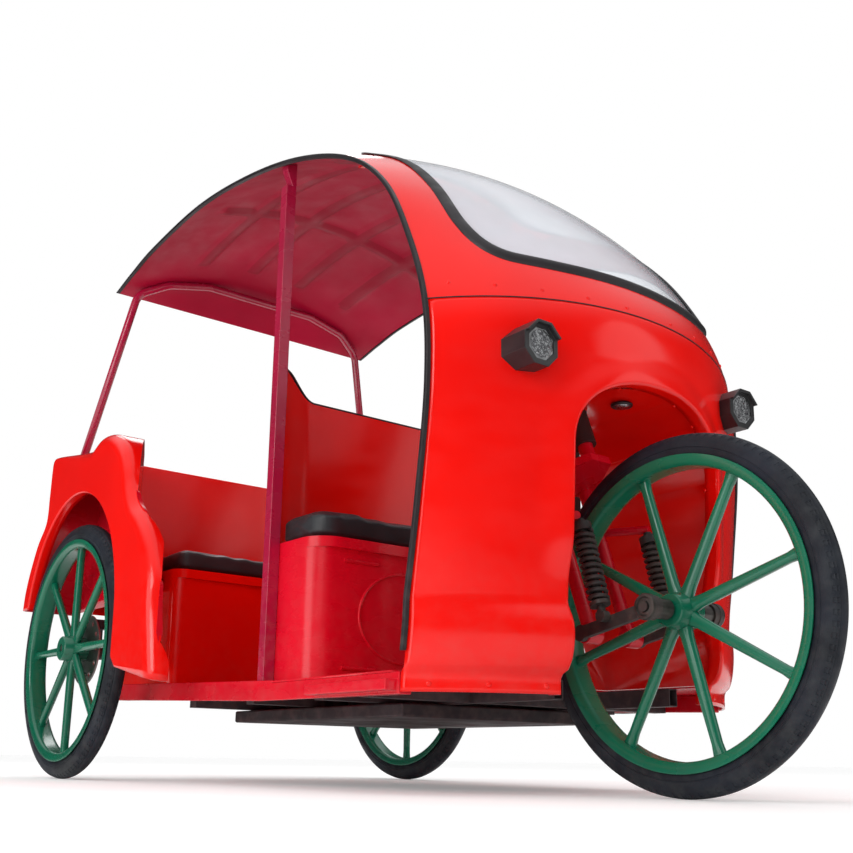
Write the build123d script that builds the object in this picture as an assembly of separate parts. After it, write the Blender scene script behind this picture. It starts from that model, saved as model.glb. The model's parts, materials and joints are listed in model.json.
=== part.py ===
from build123d import *
from math import atan2, cos, degrees, hypot, radians, sin, sqrt, tan
import os

# Electric rickshaw with one steered front wheel and two rear wheels.
# Millimetres. +X forward, +Y to the left, +Z up, ground at z = 0,
# origin on the ground at the middle of the overall length.

# Wheels
tyre_radius = 358.0
rim_lip_radius = 312.0
rim_width = 56.0
rim_wall = 4.0
rim_well_radius = 294.0
rim_inner_radius = 289.0
hub_radius = 34.0
hub_length = 72.0
hub_bore = 12.0
spoke_count = 8
spoke_root_width = 27.0
spoke_tip_width = 19.0
spoke_thickness = 9.0
spoke_rib_width = 9.0
spoke_rib_height = 6.0
spoke_turn = 16.25
tyre_side = [(312.0, 22.0), (335.0, 25.0), (352.0, 17.0), (358.0, 5.0)]
tyre_bead_half = 17.0
wheelbase = 1692.0
half_track = 596.0

# Places along the vehicle are measured from the body's zero line
rear_wheel = 18.0
front_wheel = rear_wheel + wheelbase

# Steering
steer_rake = 20.0
steer_head_height = 860.0
steer_head_x = 1422.0

# Chassis
floor_top = 232.0
floor_sheet = 4.0
rail_height = 38.0
rail_width = 26.0
rail_wall = 2.5
rail_offset = 172.0
sill_inner = 447.0
sill_outer = 477.0
frame_rear = -300.0
frame_front = 1541.0

# Body shell
body_half_width = 478.0
shell = 6.0
seat_gap = 0.3
trim_width = 9.0
trim_lip = 4.0
# Each row: edge x, edge z, centre x, centre z
nose_bumper = [
    (1432.0, 190.0, 1638.0, 190.0),
    (1434.0, 224.0, 1640.0, 224.0),
    (1442.0, 236.0, 1660.0, 236.0),
    (1446.0, 266.0, 1676.0, 266.0),
    (1452.0, 318.0, 1680.0, 318.0),
    (1454.0, 363.0, 1660.0, 363.0),
]
nose_stations = [
    (1454.0, 363.0, 1660.0, 363.0),
    (1484.0, 560.0, 1668.0, 560.0),
    (1508.0, 780.0, 1672.0, 790.0),
    (1496.0, 960.0, 1664.0, 985.0),
]
cowl_stations = [
    (1496.0, 960.0, 1664.0, 985.0),
    (1435.0, 1128.0, 1582.0, 1140.0),
    (1345.0, 1284.0, 1445.0, 1305.0),
    (1201.0, 1409.0, 1262.0, 1470.0),
    (973.0, 1512.0, 1000.0, 1608.0),
    (707.0, 1581.0, 712.0, 1690.0),
    (410.0, 1618.0, 405.0, 1722.0),
    (104.0, 1605.0, 80.0, 1700.0),
    (-60.0, 1578.0, -120.0, 1640.0),
    (-180.0, 1551.0, -204.0, 1563.0),
]

# Wheel arch in the nose and the well behind it
arch_half_width = 218.0
arch_spring = 676.0
arch_top = 827.0
arch_lip = 5.0
arch_lip_depth = 38.0
arch_reach = (1380.0, 1800.0)
arch_low = 100.0
well_half_width = 238.0
well_top = arch_top + 12.0
well_wall = 5.0
well_rear = 1290.0
well_low = floor_top + seat_gap

# Chassis
rail_middle = 204.0
kick_height = 470.0
kick_start = 180.0
kick_end = 330.0
cross_members = (500.0, 800.0, 1100.0, 1270.0)
sill_step = 948.0
sill_front = 1427.0
sill_profile = [(85.0, 262.0), (sill_step, 233.5), (sill_step, floor_top - floor_sheet),
                (sill_front, floor_top - floor_sheet), (sill_front, 186.0), (900.0, 189.0),
                (85.0, 217.0)]
step_board = (1130.0, 1421.0, sill_outer, 505.0, 193.0, 214.0)
floor_rear = 352.0
floor_front = 1400.0
battery_box = (450.0, front_wheel - 510.0, -300.0, 300.0, 155.0, 184.7)

# Fork, arms and springs
stem_radius = 17.0
stem_top = steer_head_height + 125.0
crown_height = steer_head_height - 155.0
crown_thickness = 18.0
crown_outline = [(30.0, -30.0), (30.0, 30.0), (-60.0, 78.0), (-108.0, 78.0), (-108.0, -78.0),
                 (-60.0, -78.0)]
head_low = steer_head_height - 108.0
head_wall = 9.0
head_high = steer_head_height + 80.0
beam_low = steer_head_height - 14.0
beam_high = steer_head_height + 26.0
beam_half = 20.0
brace_rear = 60.0
brace_front = 30.0
brace_inner = 160.0
brace_outer = 190.0
running_gap = 0.05
leg_offset = 60.0
leg_radius = 15.0
pivot_x = 1525.0
axle_pivot_height = 323.0
arm_inner = 80.0
arm_thickness = 14.0
arm_height = 26.0
axle_radius = 11.95
spring_offset = 104.0
spring_top_x = 1540.0
spring_top_z = 556.0
spring_low_x = 1600.0
spring_low_z = 350.0
spring_turns = 9
bar_half = 270.0
bar_sweep = 150.0
bar_middle = 110.0
bar_diameter = 22.0
bar_rise = 40.0
bar_step = 14.0
grip_radius = 16.0
grip_share = 0.52

# Rear axle
axle_tube_radius = 25.0
axle_end_gap = 8.0
disc_radius = 100.0
disc_thickness = 5.0
disc_holes = 12
disc_hole_circle = 82.0
disc_hole_radius = 7.0
housing_radius = 78.0
motor_length = 190.0
motor_radius = 64.0
leaf_offset = 380.0
leaf_width = 45.0
leaf_thickness = 7.0
leaf_half_span = 300.0
leaf_middle = 328.0
leaf_rise = 70.0
hanger_plate = 5.0
rear_hole_radius = 5.2
rear_hole_spacing = 200.0

# Rear body
arch_x = 31.0
arch_z = 416.0
arch_a = 352.0
arch_b = 387.0
arch_front = 386.0
flare = 50.0
flare_low = 500.0
quarter_rear = -205.0
quarter_top = 945.0
quarter_outer = 632.0
quarter_inner = 470.0
quarter_edge = 30.0
quarter_taper = 28.0
quarter_rear_rise = 15.0
quarter_front = [(412.0, 826.0), (440.0, 748.0), (512.0, 668.0), (575.0, 548.0), (606.0, 436.0),
                 (622.0, 330.0)]
quarter_toe = (640.0, 236.0)
quarter_slant = ((310.0, -470.0), (598.0, -600.0))
knob_x = 180.0
deck_front = 9.0
deck_top = 905.0
tail_x = -215.0
tail_low = 490.0

# Posts and hoop
post_x = 882.0
post_offset = 456.0
post_size = 28.0
hoop_diameter = 25.0
hoop_foot_x = -185.0
hoop_foot_y = 555.0
hoop_run = [(-135.0, 430.0, 1546.0), (-95.0, 340.0, 1590.0), (-85.0, 200.0, 1620.0)]

# Seats
panel = 5.0
seat_half = 441.7
bench_half = 469.7
back_thickness = 14.0
back_lean = 6.0
lip_height = 24.0
lip_reach = 10.0
bench_rear = 20.0
bench_front = 385.0
bench_corner = 30.0
bench_top = 560.0
bench_cushion_top = 622.0
bench_back_x = 60.0
bench_back_top = 930.0
driver_rear = 720.0
driver_front = 1050.0
driver_corner = 60.0
driver_rear_half = 372.0
driver_widest_x = 868.0
driver_seat_top = 556.0
driver_cushion_top = 626.0
driver_back_x = 745.0
back_bend_y = 270.0
back_bend_radius = 172.0
back_bend_angle = 64.0
back_top = 976.0
wing_top = 1034.0

# Lamps
lamp_offset = 316.0
lamp_height = 858.0
lamp_back = 1570.0
lamp_front = 1654.0
lamp_half = 44.0
brow_reach = 12.0
brow_thickness = 6.0
lens_half = 32.0
lens_recess = 6.0
lens_thickness = 4.0
tail_lamp_x = -372.0
tail_lamp_offset = quarter_outer - 42.0
tail_lamp_height = 545.0
tail_lamp_radius = 24.0
tail_lamp_depth = 28.0

# Windscreen outline as y and z seen from the front
screen_outline = [(-300, 1075), (300, 1075), (360, 1110), (372, 1170), (352, 1480), (300, 1590),
                  (-300, 1590), (-352, 1480), (-372, 1170), (-360, 1110)]
screen_stations = cowl_stations[0:6]
screen_reach = (950.0, 1720.0)
screen_thickness = 5.0
under_roof_depth = 150.0
post_top = 1480.0

rear_end = tail_lamp_x - tail_lamp_depth / 2
zero_x = -(front_wheel + tyre_radius + rear_end) / 2


def at(x):
    """Distance from the body's zero line to the part's own x."""
    return zero_x + x


def save(shape, name):
    os.makedirs("parts", exist_ok=True)
    export_step(shape, f"parts/{name}.step")


def block(x0, x1, y0, y1, z0, z1):
    """Box between two x from the zero line, two y and two z."""
    size = (x1 - x0, y1 - y0, z1 - z0)
    return Pos(at((x0 + x1) / 2), (y0 + y1) / 2, (z0 + z1) / 2) * Box(*size)


def side_profile(points, y0, y1):
    """Outline in x and z, with x from the zero line, filled between two y."""
    wire = Polyline(*[(at(x), 0, z) for x, z in points], close=True)
    face = make_face(wire)
    return extrude(Pos(0, y0, 0) * face, amount=y1 - y0, dir=(0, 1, 0))


def tube_along(points, radii, outer):
    """Round tube through points given as x from the zero line, y, z."""
    path = FilletPolyline(*[(at(x), y, z) for x, y, z in points], radius=radii)
    start = path @ 0
    plane = Plane(origin=start, z_dir=path % 0)
    return sweep(plane * Circle(outer / 2), path=path)


def mirror_y(shape):
    return mirror(shape, about=Plane.XZ)


def octagon(x, y, z, half):
    """Eight-sided face looking forward, given half its width across the flats."""
    plane = Plane(origin=(at(x), y, z), z_dir=(1, 0, 0), x_dir=(0, 1, 0))
    return plane * RegularPolygon(half, 8, major_radius=False, rotation=22.5)


# Wheels

def wheel():
    """Cast wheel about the Y axis, at the origin: rim, blades and hub."""
    half = rim_width / 2
    rim_outline = Polyline(
        (rim_lip_radius, half),
        (rim_lip_radius, half - rim_wall),
        (rim_well_radius, half - rim_wall - 4),
        (rim_well_radius, -half + rim_wall + 4),
        (rim_lip_radius, -half + rim_wall),
        (rim_lip_radius, -half),
        (rim_inner_radius, -half),
        (rim_inner_radius, half),
        close=True)
    rim = revolve(make_face(rim_outline), axis=Axis.Y, revolution_arc=360)
    hub = Rot(90, 0, 0) * Cylinder(hub_radius, hub_length)
    body = rim + hub
    reach = rim_inner_radius + 3
    root = hub_radius - 4
    for index in range(spoke_count):
        blade_outline = Polyline(
            (root, -spoke_root_width / 2),
            (reach, -spoke_tip_width / 2),
            (reach, spoke_tip_width / 2),
            (root, spoke_root_width / 2),
            close=True)
        blade = extrude(make_face(blade_outline), amount=spoke_thickness / 2, both=True)
        rib = Pos((root + reach) / 2, 0, 0) * Box(
            reach - root, spoke_rib_width, spoke_thickness + 2 * spoke_rib_height)
        spoke = Rot(90, 0, 0) * (blade + rib)
        body = body + Rot(0, index * 360 / spoke_count, 0) * spoke
    bore = Rot(90, 0, 0) * Cylinder(hub_bore, hub_length + 2)
    return body - bore


def tyre():
    bead = rim_well_radius + seat_gap
    one_side = [(bead, tyre_bead_half)] + tyre_side
    other_side = [(r, -y) for r, y in reversed(one_side)]
    outline = make_face(Polyline(*one_side, *other_side, close=True))
    return revolve(outline, axis=Axis.Y, revolution_arc=360)

# Body shell

def station_face(station, offset, thickness):
    """Curved band across the body at one station, in its own slanted plane."""
    edge_x, edge_z, centre_x, centre_z = station
    rise = hypot(centre_x - edge_x, centre_z - edge_z)
    out = Vector((centre_x - edge_x) / rise, 0, (centre_z - edge_z) / rise)
    radius = (body_half_width ** 2 + rise ** 2) / (2 * rise)
    middle = Vector(at(centre_x), 0, centre_z) - out * radius
    swing = atan2(body_half_width, radius - rise)

    def on_arc(r, angle):
        return middle + out * (r * cos(angle)) + Vector(0, r * sin(angle), 0)

    outer = radius + offset
    inner = outer - thickness
    return make_face([
        ThreePointArc(on_arc(outer, -swing), on_arc(outer, 0), on_arc(outer, swing)),
        Line(on_arc(outer, swing), on_arc(inner, swing)),
        ThreePointArc(on_arc(inner, swing), on_arc(inner, 0), on_arc(inner, -swing)),
        Line(on_arc(inner, -swing), on_arc(outer, -swing)),
    ])


def band(stations, offset=0.0, thickness=shell, ruled=False):
    return loft([station_face(row, offset, thickness) for row in stations], ruled=ruled)


def edge_trim(stations, side, ruled=False):
    """Rubber edging that follows the open side of the shell."""
    faces = []
    for edge_x, edge_z, centre_x, centre_z in stations:
        rise = hypot(centre_x - edge_x, centre_z - edge_z)
        out = Vector((centre_x - edge_x) / rise, 0, (centre_z - edge_z) / rise)
        corner = Vector(at(edge_x), side * (body_half_width + seat_gap), edge_z)
        across = Vector(0, side * trim_width, 0)
        top = out * trim_lip
        low = out * -(shell + trim_lip)
        faces.append(make_face(Polyline(
            corner + top, corner + top + across, corner + low + across, corner + low,
            close=True)))
    return loft(faces, ruled=ruled)


def front_prism(points, depth_from, depth_to):
    """Outline in y and z carried along x."""
    face = make_face(Polyline(*[(at(depth_from), y, z) for y, z in points], close=True))
    return extrude(face, amount=depth_to - depth_from, dir=(1, 0, 0))


def arch_solid(half_width, top, spring, x0, x1, low):
    """Round-topped tunnel along x."""
    shoulder = (half_width * 0.74, spring + (top - spring) * 0.70)
    crest = (half_width * 0.34, top - (top - spring) * 0.06)
    face = make_face([
        Line((at(x0), -half_width, low), (at(x0), half_width, low)),
        Line((at(x0), half_width, low), (at(x0), half_width, spring)),
        ThreePointArc((at(x0), half_width, spring), (at(x0), *shoulder), (at(x0), *crest)),
        ThreePointArc((at(x0), *crest), (at(x0), 0, top), (at(x0), -crest[0], crest[1])),
        ThreePointArc((at(x0), -crest[0], crest[1]), (at(x0), -shoulder[0], shoulder[1]),
                      (at(x0), -half_width, spring)),
        Line((at(x0), -half_width, spring), (at(x0), -half_width, low)),
    ])
    return extrude(face, amount=x1 - x0, dir=(1, 0, 0))


def nose_band(offset=0.0, thickness=shell):
    return band(nose_stations, offset, thickness) + band(nose_bumper, offset, thickness, ruled=True)


def nose_shell():
    """Front panel with a wheel arch, whose edge turns back into a lip."""
    opening = arch_solid(arch_half_width, arch_top, arch_spring, *arch_reach, arch_low)
    around = arch_solid(arch_half_width + arch_lip, arch_top + arch_lip, arch_spring, *arch_reach,
                        arch_low)
    lip = (around - opening) & nose_band(0.0, arch_lip_depth)
    return nose_band() + lip - opening


def wheel_well():
    """Red tunnel behind the arch, closed at the back, open at the bottom."""
    outside = arch_solid(well_half_width + well_wall, well_top + well_wall, arch_spring,
                         well_rear - well_wall, arch_reach[1], well_low)
    inside = arch_solid(well_half_width, well_top, arch_spring, well_rear, arch_reach[1],
                        arch_low)
    behind_nose = nose_band(-(shell + seat_gap), 330.0)
    stem_hole = along_steer(stem_radius + head_wall + 1, head_low - 40, head_high)
    return ((outside - inside) & behind_nose) - stem_hole


# Frame

def rail(side):
    """Kicked-up chassis rail, a tube with its front end open."""
    low = rail_middle - rail_height / 2
    high = rail_middle + rail_height / 2
    kick = rail_height / 2
    inner = side * rail_offset - rail_width / 2
    outline = [(frame_rear, kick_height - kick), (kick_start, kick_height - kick),
               (kick_end, low), (frame_front, low), (frame_front, high),
               (kick_end + 18, high), (kick_start + 18, kick_height + kick),
               (frame_rear, kick_height + kick)]
    tube = side_profile(outline, inner, inner + rail_width)
    hollow = block(frame_front - 260, frame_front + 1, inner + rail_wall,
                   inner + rail_width - rail_wall, low + rail_wall, high - rail_wall)
    return tube - hollow


def chassis():
    low = rail_middle - rail_height / 2
    high = rail_middle + rail_height / 2
    frame = rail(-1) + rail(1)
    reach = sill_inner
    for x in cross_members:
        frame = frame + block(x - 18, x + 18, -reach, reach, low + 2, high - 2)
    kick_reach = bench_half - panel - seat_gap
    bolt_hole = Rot(0, 90, 0) * Cylinder(rear_hole_radius, 40)
    bar_low = kick_height - 15
    bar_high = kick_height + 15
    eye_z = leaf_middle + leaf_rise
    front_eye = rear_wheel + leaf_half_span
    rear_eye = rear_wheel - leaf_half_span
    for x in (frame_rear, kick_start - 30):
        frame = frame + block(x, x + 30, -kick_reach, kick_reach, bar_low, bar_high)
    front_hanger = [(kick_start - 30, bar_high), (kick_start, bar_high),
                    (front_eye + 16, eye_z + 16), (front_eye + 16, eye_z - 16),
                    (front_eye - 16, eye_z - 16), (kick_start - 30, bar_low)]
    rear_hanger = [(frame_rear - 16, bar_high), (frame_rear + 30, bar_high),
                   (rear_eye + 16, eye_z - 16), (rear_eye - 16, eye_z - 16)]
    for side in (-1, 1):
        for edge in (-1, 1):
            inner = side * leaf_offset + edge * (leaf_width / 2 + seat_gap)
            outer = inner + edge * hanger_plate
            y0, y1 = min(inner, outer), max(inner, outer)
            frame = frame + side_profile(front_hanger, y0, y1)
            frame = frame + side_profile(rear_hanger, y0, y1)
        hole = Pos(at(frame_rear + 15), side * rear_hole_spacing / 2, kick_height) * bolt_hole
        frame = frame - hole
    return frame


def sill(side):
    """Side rail under the door opening, with a step board on its outer face."""
    rail_part = side_profile(sill_profile, -sill_outer, -sill_inner)
    x0, x1, y0, y1, z0, z1 = step_board
    shape = rail_part + block(x0, x1, -y1, -y0, z0, z1)
    return shape if side < 0 else mirror_y(shape)


def sill_room():
    """Space kept free round both sills by the pieces that stand over them."""
    raised = [(x, z + seat_gap) for x, z in sill_profile[0:4]]
    raised = raised + [(sill_front, floor_top - 60), (85.0, floor_top - 60)]
    room = side_profile(raised, -sill_outer - seat_gap, -sill_inner + seat_gap)
    return room + mirror_y(room)


def floor_pan():
    high = floor_top
    low = floor_top - floor_sheet
    between = sill_inner - seat_gap
    pan = block(floor_rear, sill_step + seat_gap, -between, between, low, high)
    pan = pan + block(sill_step + seat_gap, floor_front, -sill_outer, sill_outer, low, high)
    toe = block(floor_front, front_wheel, -sill_outer, sill_outer, low, high)
    toe = toe & band(nose_bumper, -(shell + seat_gap), 400.0, ruled=True)
    notch = well_half_width + well_wall + seat_gap
    return (pan + toe) - block(well_rear - well_wall - seat_gap, front_wheel, -notch, notch,
                               low - 1, high + 1)


# Front suspension and steering

steer_top = Vector(at(steer_head_x), 0, steer_head_height)
steer_way = Vector(-sin(radians(steer_rake)), 0, cos(radians(steer_rake)))


def on_steer(height):
    """Point of the steering axis at one height."""
    reach = (height - steer_head_height) / cos(radians(steer_rake))
    return steer_top + steer_way * reach


def along_steer(radius, low, high):
    base = on_steer(low)
    length = (on_steer(high) - base).length
    plane = Plane(origin=base, z_dir=steer_way)
    return extrude(plane * Circle(radius), amount=length)




def bar(start, end, radius):
    """Round bar between two points given as x from the zero line, y, z."""
    a = Vector(at(start[0]), start[1], start[2])
    b = Vector(at(end[0]), end[1], end[2])
    plane = Plane(origin=a, z_dir=b - a)
    return extrude(plane * Circle(radius), amount=(b - a).length)


def leg_x(height):
    """Place of the fork legs at one height; they run along the steering axis."""
    return pivot_x - (height - axle_pivot_height) * tan(radians(steer_rake))


def fork():
    shape = along_steer(stem_radius, crown_height, stem_top)
    crown_plane = Plane(origin=on_steer(crown_height), x_dir=(-steer_way.Z, 0, steer_way.X),
                        z_dir=(-steer_way.X, 0, -steer_way.Z))
    outline = make_face(Polyline(*[(-u, v) for u, v in crown_outline], close=True))
    shape = shape + extrude(crown_plane * outline, amount=crown_thickness / 2, both=True)
    leg_top = crown_height - 32
    stub_z = spring_top_z + 9.5
    for side in (-1, 1):
        y = side * leg_offset
        shape = shape + bar((leg_x(leg_top), y, leg_top),
                            (leg_x(axle_pivot_height + 4), y, axle_pivot_height + 4), leg_radius)
        boss_inner = leg_offset - leg_radius - 3
        boss_length = arm_inner - seat_gap - boss_inner
        shape = shape + Pos(at(pivot_x), side * (boss_inner + boss_length / 2),
                            axle_pivot_height) * Rot(90, 0, 0) * Cylinder(20, boss_length)
        shape = shape + bar((leg_x(stub_z), y, stub_z),
                            (spring_top_x, side * (spring_offset + 8), stub_z), 9)
    return shape


def link_arm(side):
    """Leading arm from the fork's foot to the axle."""
    inner = side * arm_inner
    outer = side * (arm_inner + arm_thickness)
    y0, y1 = min(inner, outer), max(inner, outer)
    run = Vector(front_wheel - pivot_x, tyre_radius - axle_pivot_height)
    tilt = degrees(atan2(run.Y, run.X))
    middle = Pos(at((pivot_x + front_wheel) / 2), (y0 + y1) / 2,
                 (axle_pivot_height + tyre_radius) / 2)
    plate = middle * Rot(0, -tilt, 0) * Box(run.length, y1 - y0, arm_height)
    for x, z, r in ((pivot_x, axle_pivot_height, 17), (front_wheel, tyre_radius, 24)):
        plate = plate + Pos(at(x), (y0 + y1) / 2, z) * Rot(90, 0, 0) * Cylinder(r, y1 - y0)
    cap = Pos(at(front_wheel), side * (arm_inner + arm_thickness + 5), tyre_radius) * (
        Rot(90, 0, 0) * Cylinder(26, 10))
    return plate + cap


def front_axle():
    """Axle between the two arms, through the hub with running clearance."""
    shaft = Rot(90, 0, 0) * Cylinder(axle_radius, 2 * arm_inner)
    spacers = Rot(90, 0, 0) * (Cylinder(20, 2 * arm_inner) - Cylinder(30, hub_length + 12))
    return Pos(at(front_wheel), 0, tyre_radius) * (shaft + spacers)


def spring_unit(side):
    """Coil spring round its damper, drawn as a stack of turns."""
    top = Vector(at(spring_top_x), side * spring_offset, spring_top_z)
    low = Vector(at(spring_low_x), side * spring_offset, spring_low_z)
    length = (top - low).length
    points = [(0, 0), (9, 0), (9, 26)]
    start, end = 28.0, length - 24.0
    pitch = (end - start) / spring_turns
    for index in range(spring_turns):
        z = start + index * pitch
        points += [(14, z), (22, z + pitch / 2)]
    points += [(14, end), (19, end + 2), (19, length - 8), (9, length - 6), (9, length), (0, length)]
    face = make_face(Polyline(*[(r, 0, z) for r, z in points], close=True))
    unit = revolve(face, axis=Axis.Z, revolution_arc=360)
    unit = Plane(origin=low, z_dir=top - low) * unit
    eye_length = 2 * (spring_offset - arm_inner - arm_thickness)
    eye = Pos(low.X, low.Y, low.Z) * Rot(90, 0, 0) * Cylinder(12, eye_length)
    return unit + eye


def handlebar():
    """Swept bar on a clamp, with a grip at each end."""
    top = on_steer(stem_top)
    x = top.X - zero_x
    high = stem_top + bar_rise
    low = stem_top + bar_step
    path = [(x - bar_sweep, -bar_half, high), (x, -bar_middle, low), (x, bar_middle, low),
            (x - bar_sweep, bar_half, high)]
    shape = along_steer(26, stem_top, stem_top + 30) + tube_along(path, [50, 50], bar_diameter)
    for side in (-1, 1):
        inner = bar_half * grip_share + bar_middle * (1 - grip_share)
        shape = shape + bar((x - bar_sweep, side * bar_half, high),
                            (x - bar_sweep * grip_share, side * inner,
                             high * grip_share + low * (1 - grip_share)), grip_radius)
    return shape


# Rear axle

def rear_axle():
    half = half_track - hub_length / 2 - disc_thickness - axle_end_gap
    tube = Rot(90, 0, 0) * Cylinder(axle_tube_radius, 2 * half)
    shaft = Rot(90, 0, 0) * Cylinder(axle_radius, 2 * (half_track + hub_length / 2 - 4))
    housing = Rot(90, 0, 0) * Cylinder(housing_radius, 120)
    return Pos(at(rear_wheel), 0, tyre_radius) * (tube + shaft + housing)


def leaf_spring(side):
    """Three leaves under the axle, curved up to an eye at each end."""
    y0 = side * leaf_offset - leaf_width / 2
    shape = None
    for index, half_span in enumerate((leaf_half_span, 210.0, 120.0)):
        z = leaf_middle - index * leaf_thickness
        rise = leaf_rise * (half_span / leaf_half_span) ** 2
        rear, middle, front = (at(rear_wheel + way * half_span) for way in (-1, 0, 1))
        top = ThreePointArc((rear, 0, z + rise), (middle, 0, z), (front, 0, z + rise))
        low = ThreePointArc((front, 0, z + rise - leaf_thickness),
                            (middle, 0, z - leaf_thickness),
                            (rear, 0, z + rise - leaf_thickness))
        face = make_face([top, Line(top @ 1, low @ 0), low, Line(low @ 1, top @ 0)])
        leaf = extrude(Pos(0, y0, 0) * face, amount=leaf_width, dir=(0, 1, 0))
        shape = leaf if shape is None else shape + leaf
    for end in (-1, 1):
        eye = Pos(at(rear_wheel + end * leaf_half_span), side * leaf_offset,
                  leaf_middle + leaf_rise)
        shape = shape + eye * Rot(90, 0, 0) * Cylinder(14, leaf_width)
    clamp = block(rear_wheel - 35, rear_wheel + 35, y0 - 8, y0 + leaf_width + 8,
                  leaf_middle - 26, tyre_radius - 10)
    axle_room = Pos(at(rear_wheel), side * leaf_offset, tyre_radius) * Rot(90, 0, 0) * (
        Cylinder(axle_tube_radius + seat_gap, 100))
    return shape + (clamp - axle_room)


def brake_disc():
    disc = Rot(90, 0, 0) * (Cylinder(disc_radius, disc_thickness) - Cylinder(hub_bore, 20))
    for index in range(disc_holes):
        turn = Rot(0, index * 360 / disc_holes, 0)
        disc = disc - turn * Pos(disc_hole_circle, 0, 0) * Rot(90, 0, 0) * (
            Cylinder(disc_hole_radius, 20))
    return disc


# Rear body

def flare_point(inset, x=None, z=None):
    """Point of the outer edge of the wheel arch flare at one x or one z."""
    a = arch_a + flare - inset
    b = arch_b + flare - inset
    if x is None:
        return (arch_x - a * sqrt(1 - ((z - arch_z) / b) ** 2), z)
    return (x, arch_z + b * sqrt(1 - ((x - arch_x) / a) ** 2))


def quarter_face(y, inset, taper=0.0, low_extra=0.0):
    """Side view of a rear quarter, shrunk all round and again at top and front."""
    low = flare_low - low_extra
    rear = quarter_rear + inset
    top = quarter_top - inset - taper
    ahead = inset + taper
    front = [(knob_x - 75, top - 22), (knob_x, top + 6), (knob_x + 135 - ahead, top - 36)]
    front = front + [(x - ahead, z - taper / 2) for x, z in quarter_front]
    front = front + [(quarter_toe[0] - ahead, quarter_toe[1] - low_extra)]
    flare_end = flare_point(inset, z=low)
    flare_top = flare_point(inset, x=rear)
    flare_middle = flare_point(inset, z=(low + flare_top[1]) / 2)
    corner = (rear, top + quarter_rear_rise - 10)
    crest = (rear + 12, top + quarter_rear_rise)
    foot = (arch_front - 20, 285 - low_extra)
    knee = (arch_front - 20, low)
    p = [(at(x), y, z) for x, z in front]
    e, m, t, c, r, f, k = [(at(x), y, z) for x, z in (
        flare_end, flare_middle, flare_top, corner, crest, foot, knee)]
    return make_face([
        ThreePointArc(e, m, t), Line(t, c), Line(c, r), Line(r, p[0]),
        ThreePointArc(p[0], p[1], p[2]), Spline(*p[2:]), Line(p[-1], f), Line(f, k), Line(k, e),
    ])


def quarter_body(inset, low_extra):
    """Full depth of the quarter, with a tapered edge on its outer side."""
    edge_y = -(quarter_outer - quarter_edge) + inset * 0.7
    outer_y = -quarter_outer + inset
    full = quarter_face(edge_y, inset, 0.0, low_extra)
    depth = -quarter_inner - inset - edge_y
    body = extrude(full, amount=depth, dir=(0, 1, 0))
    edge = loft([full, quarter_face(outer_y, inset, quarter_taper, low_extra)], ruled=True)
    rear, front = quarter_slant
    run = hypot(front[0] - rear[0], front[1] - rear[1])
    shift_x = inset * (front[1] - rear[1]) / run
    shift_y = -inset * (front[0] - rear[0]) / run
    a = (rear[0] + shift_x, rear[1] + shift_y)
    b = (front[0] + shift_x, front[1] + shift_y)
    wedge = make_face(Polyline(*[(at(x), y, 0) for x, y in (
        (a[0] - 60, a[1] + 27), a, b, (quarter_toe[0] + 60, b[1]),
        (quarter_toe[0] + 60, a[1] + 27))], close=True))
    return body + edge - extrude(wedge, amount=quarter_top + 100, dir=(0, 0, 1))


def quarter(side):
    """Rear quarter: a hollow moulding over the wheel, open at the bottom."""
    arch_plane = Plane(origin=(at(arch_x), -quarter_outer - 5, arch_z), x_dir=(1, 0, 0),
                       z_dir=(0, 1, 0))
    arch = extrude(arch_plane * Ellipse(arch_a, arch_b), amount=shell + 10)
    foot = block(arch_x - arch_a, arch_x + arch_a, -quarter_outer - 5,
                 -quarter_outer + shell + 5, 0, arch_z)
    shape = quarter_body(0.0, 0.0) - quarter_body(shell, 60.0) - arch - foot
    return shape if side < 0 else mirror_y(shape)


def tail_panel():
    outline = [(deck_front, deck_top), (tail_x + 40, deck_top), (tail_x, deck_top - 30),
               (tail_x, tail_low), (tail_x + shell, tail_low), (tail_x + shell, deck_top - 33),
               (tail_x + 43, deck_top - shell), (deck_front, deck_top - shell)]
    reach = quarter_inner - seat_gap
    return side_profile(outline, -reach, reach)


# Seats

def seat_plan(x0, x1, half, corner, z, inset=0.0, rear_half=None):
    """Seat seen from above: rounded front corners, narrower rear if given."""
    side = half - inset
    points = [(x0, -side), (x1 - inset, -side), (x1 - inset, side), (x0, side)]
    if rear_half:
        narrow = rear_half - inset
        points = [(x0, -narrow), (driver_widest_x, -side), (x1 - inset, -side),
                  (x1 - inset, side), (driver_widest_x, side), (x0, narrow)]
    face = make_face(Polyline(*[(at(x), y, z) for x, y in points], close=True))
    return fillet(face.vertices().sort_by(Axis.X)[-2:], corner - inset)


def seat_base(x0, x1, top, half, corner, rear_half=None):
    """Box under a seat, open at the back and the bottom, with a lip at its top."""
    low = floor_top + seat_gap
    up = (0, 0, 1)
    plan = seat_plan(x0, x1, half, corner, low, 0.0, rear_half)
    outer = extrude(plan, amount=top - low, dir=up)
    hollow = seat_plan(x0 - 1, x1, half, corner, low - 40, panel, rear_half)
    hollow = extrude(hollow, amount=top - panel - low + 40, dir=up)
    lip = seat_plan(x0, x1 + lip_reach, half, corner + 8, top - lip_height, 0.0, rear_half)
    return outer + extrude(lip, amount=lip_height, dir=up) - hollow - sill_room()


def bench_cushion():
    plan = seat_plan(bench_back_x + 5, bench_front + 6, bench_half - 6, bench_corner,
                     bench_top + seat_gap)
    return extrude(plan, amount=bench_cushion_top - bench_top - seat_gap, dir=(0, 0, 1))


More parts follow.
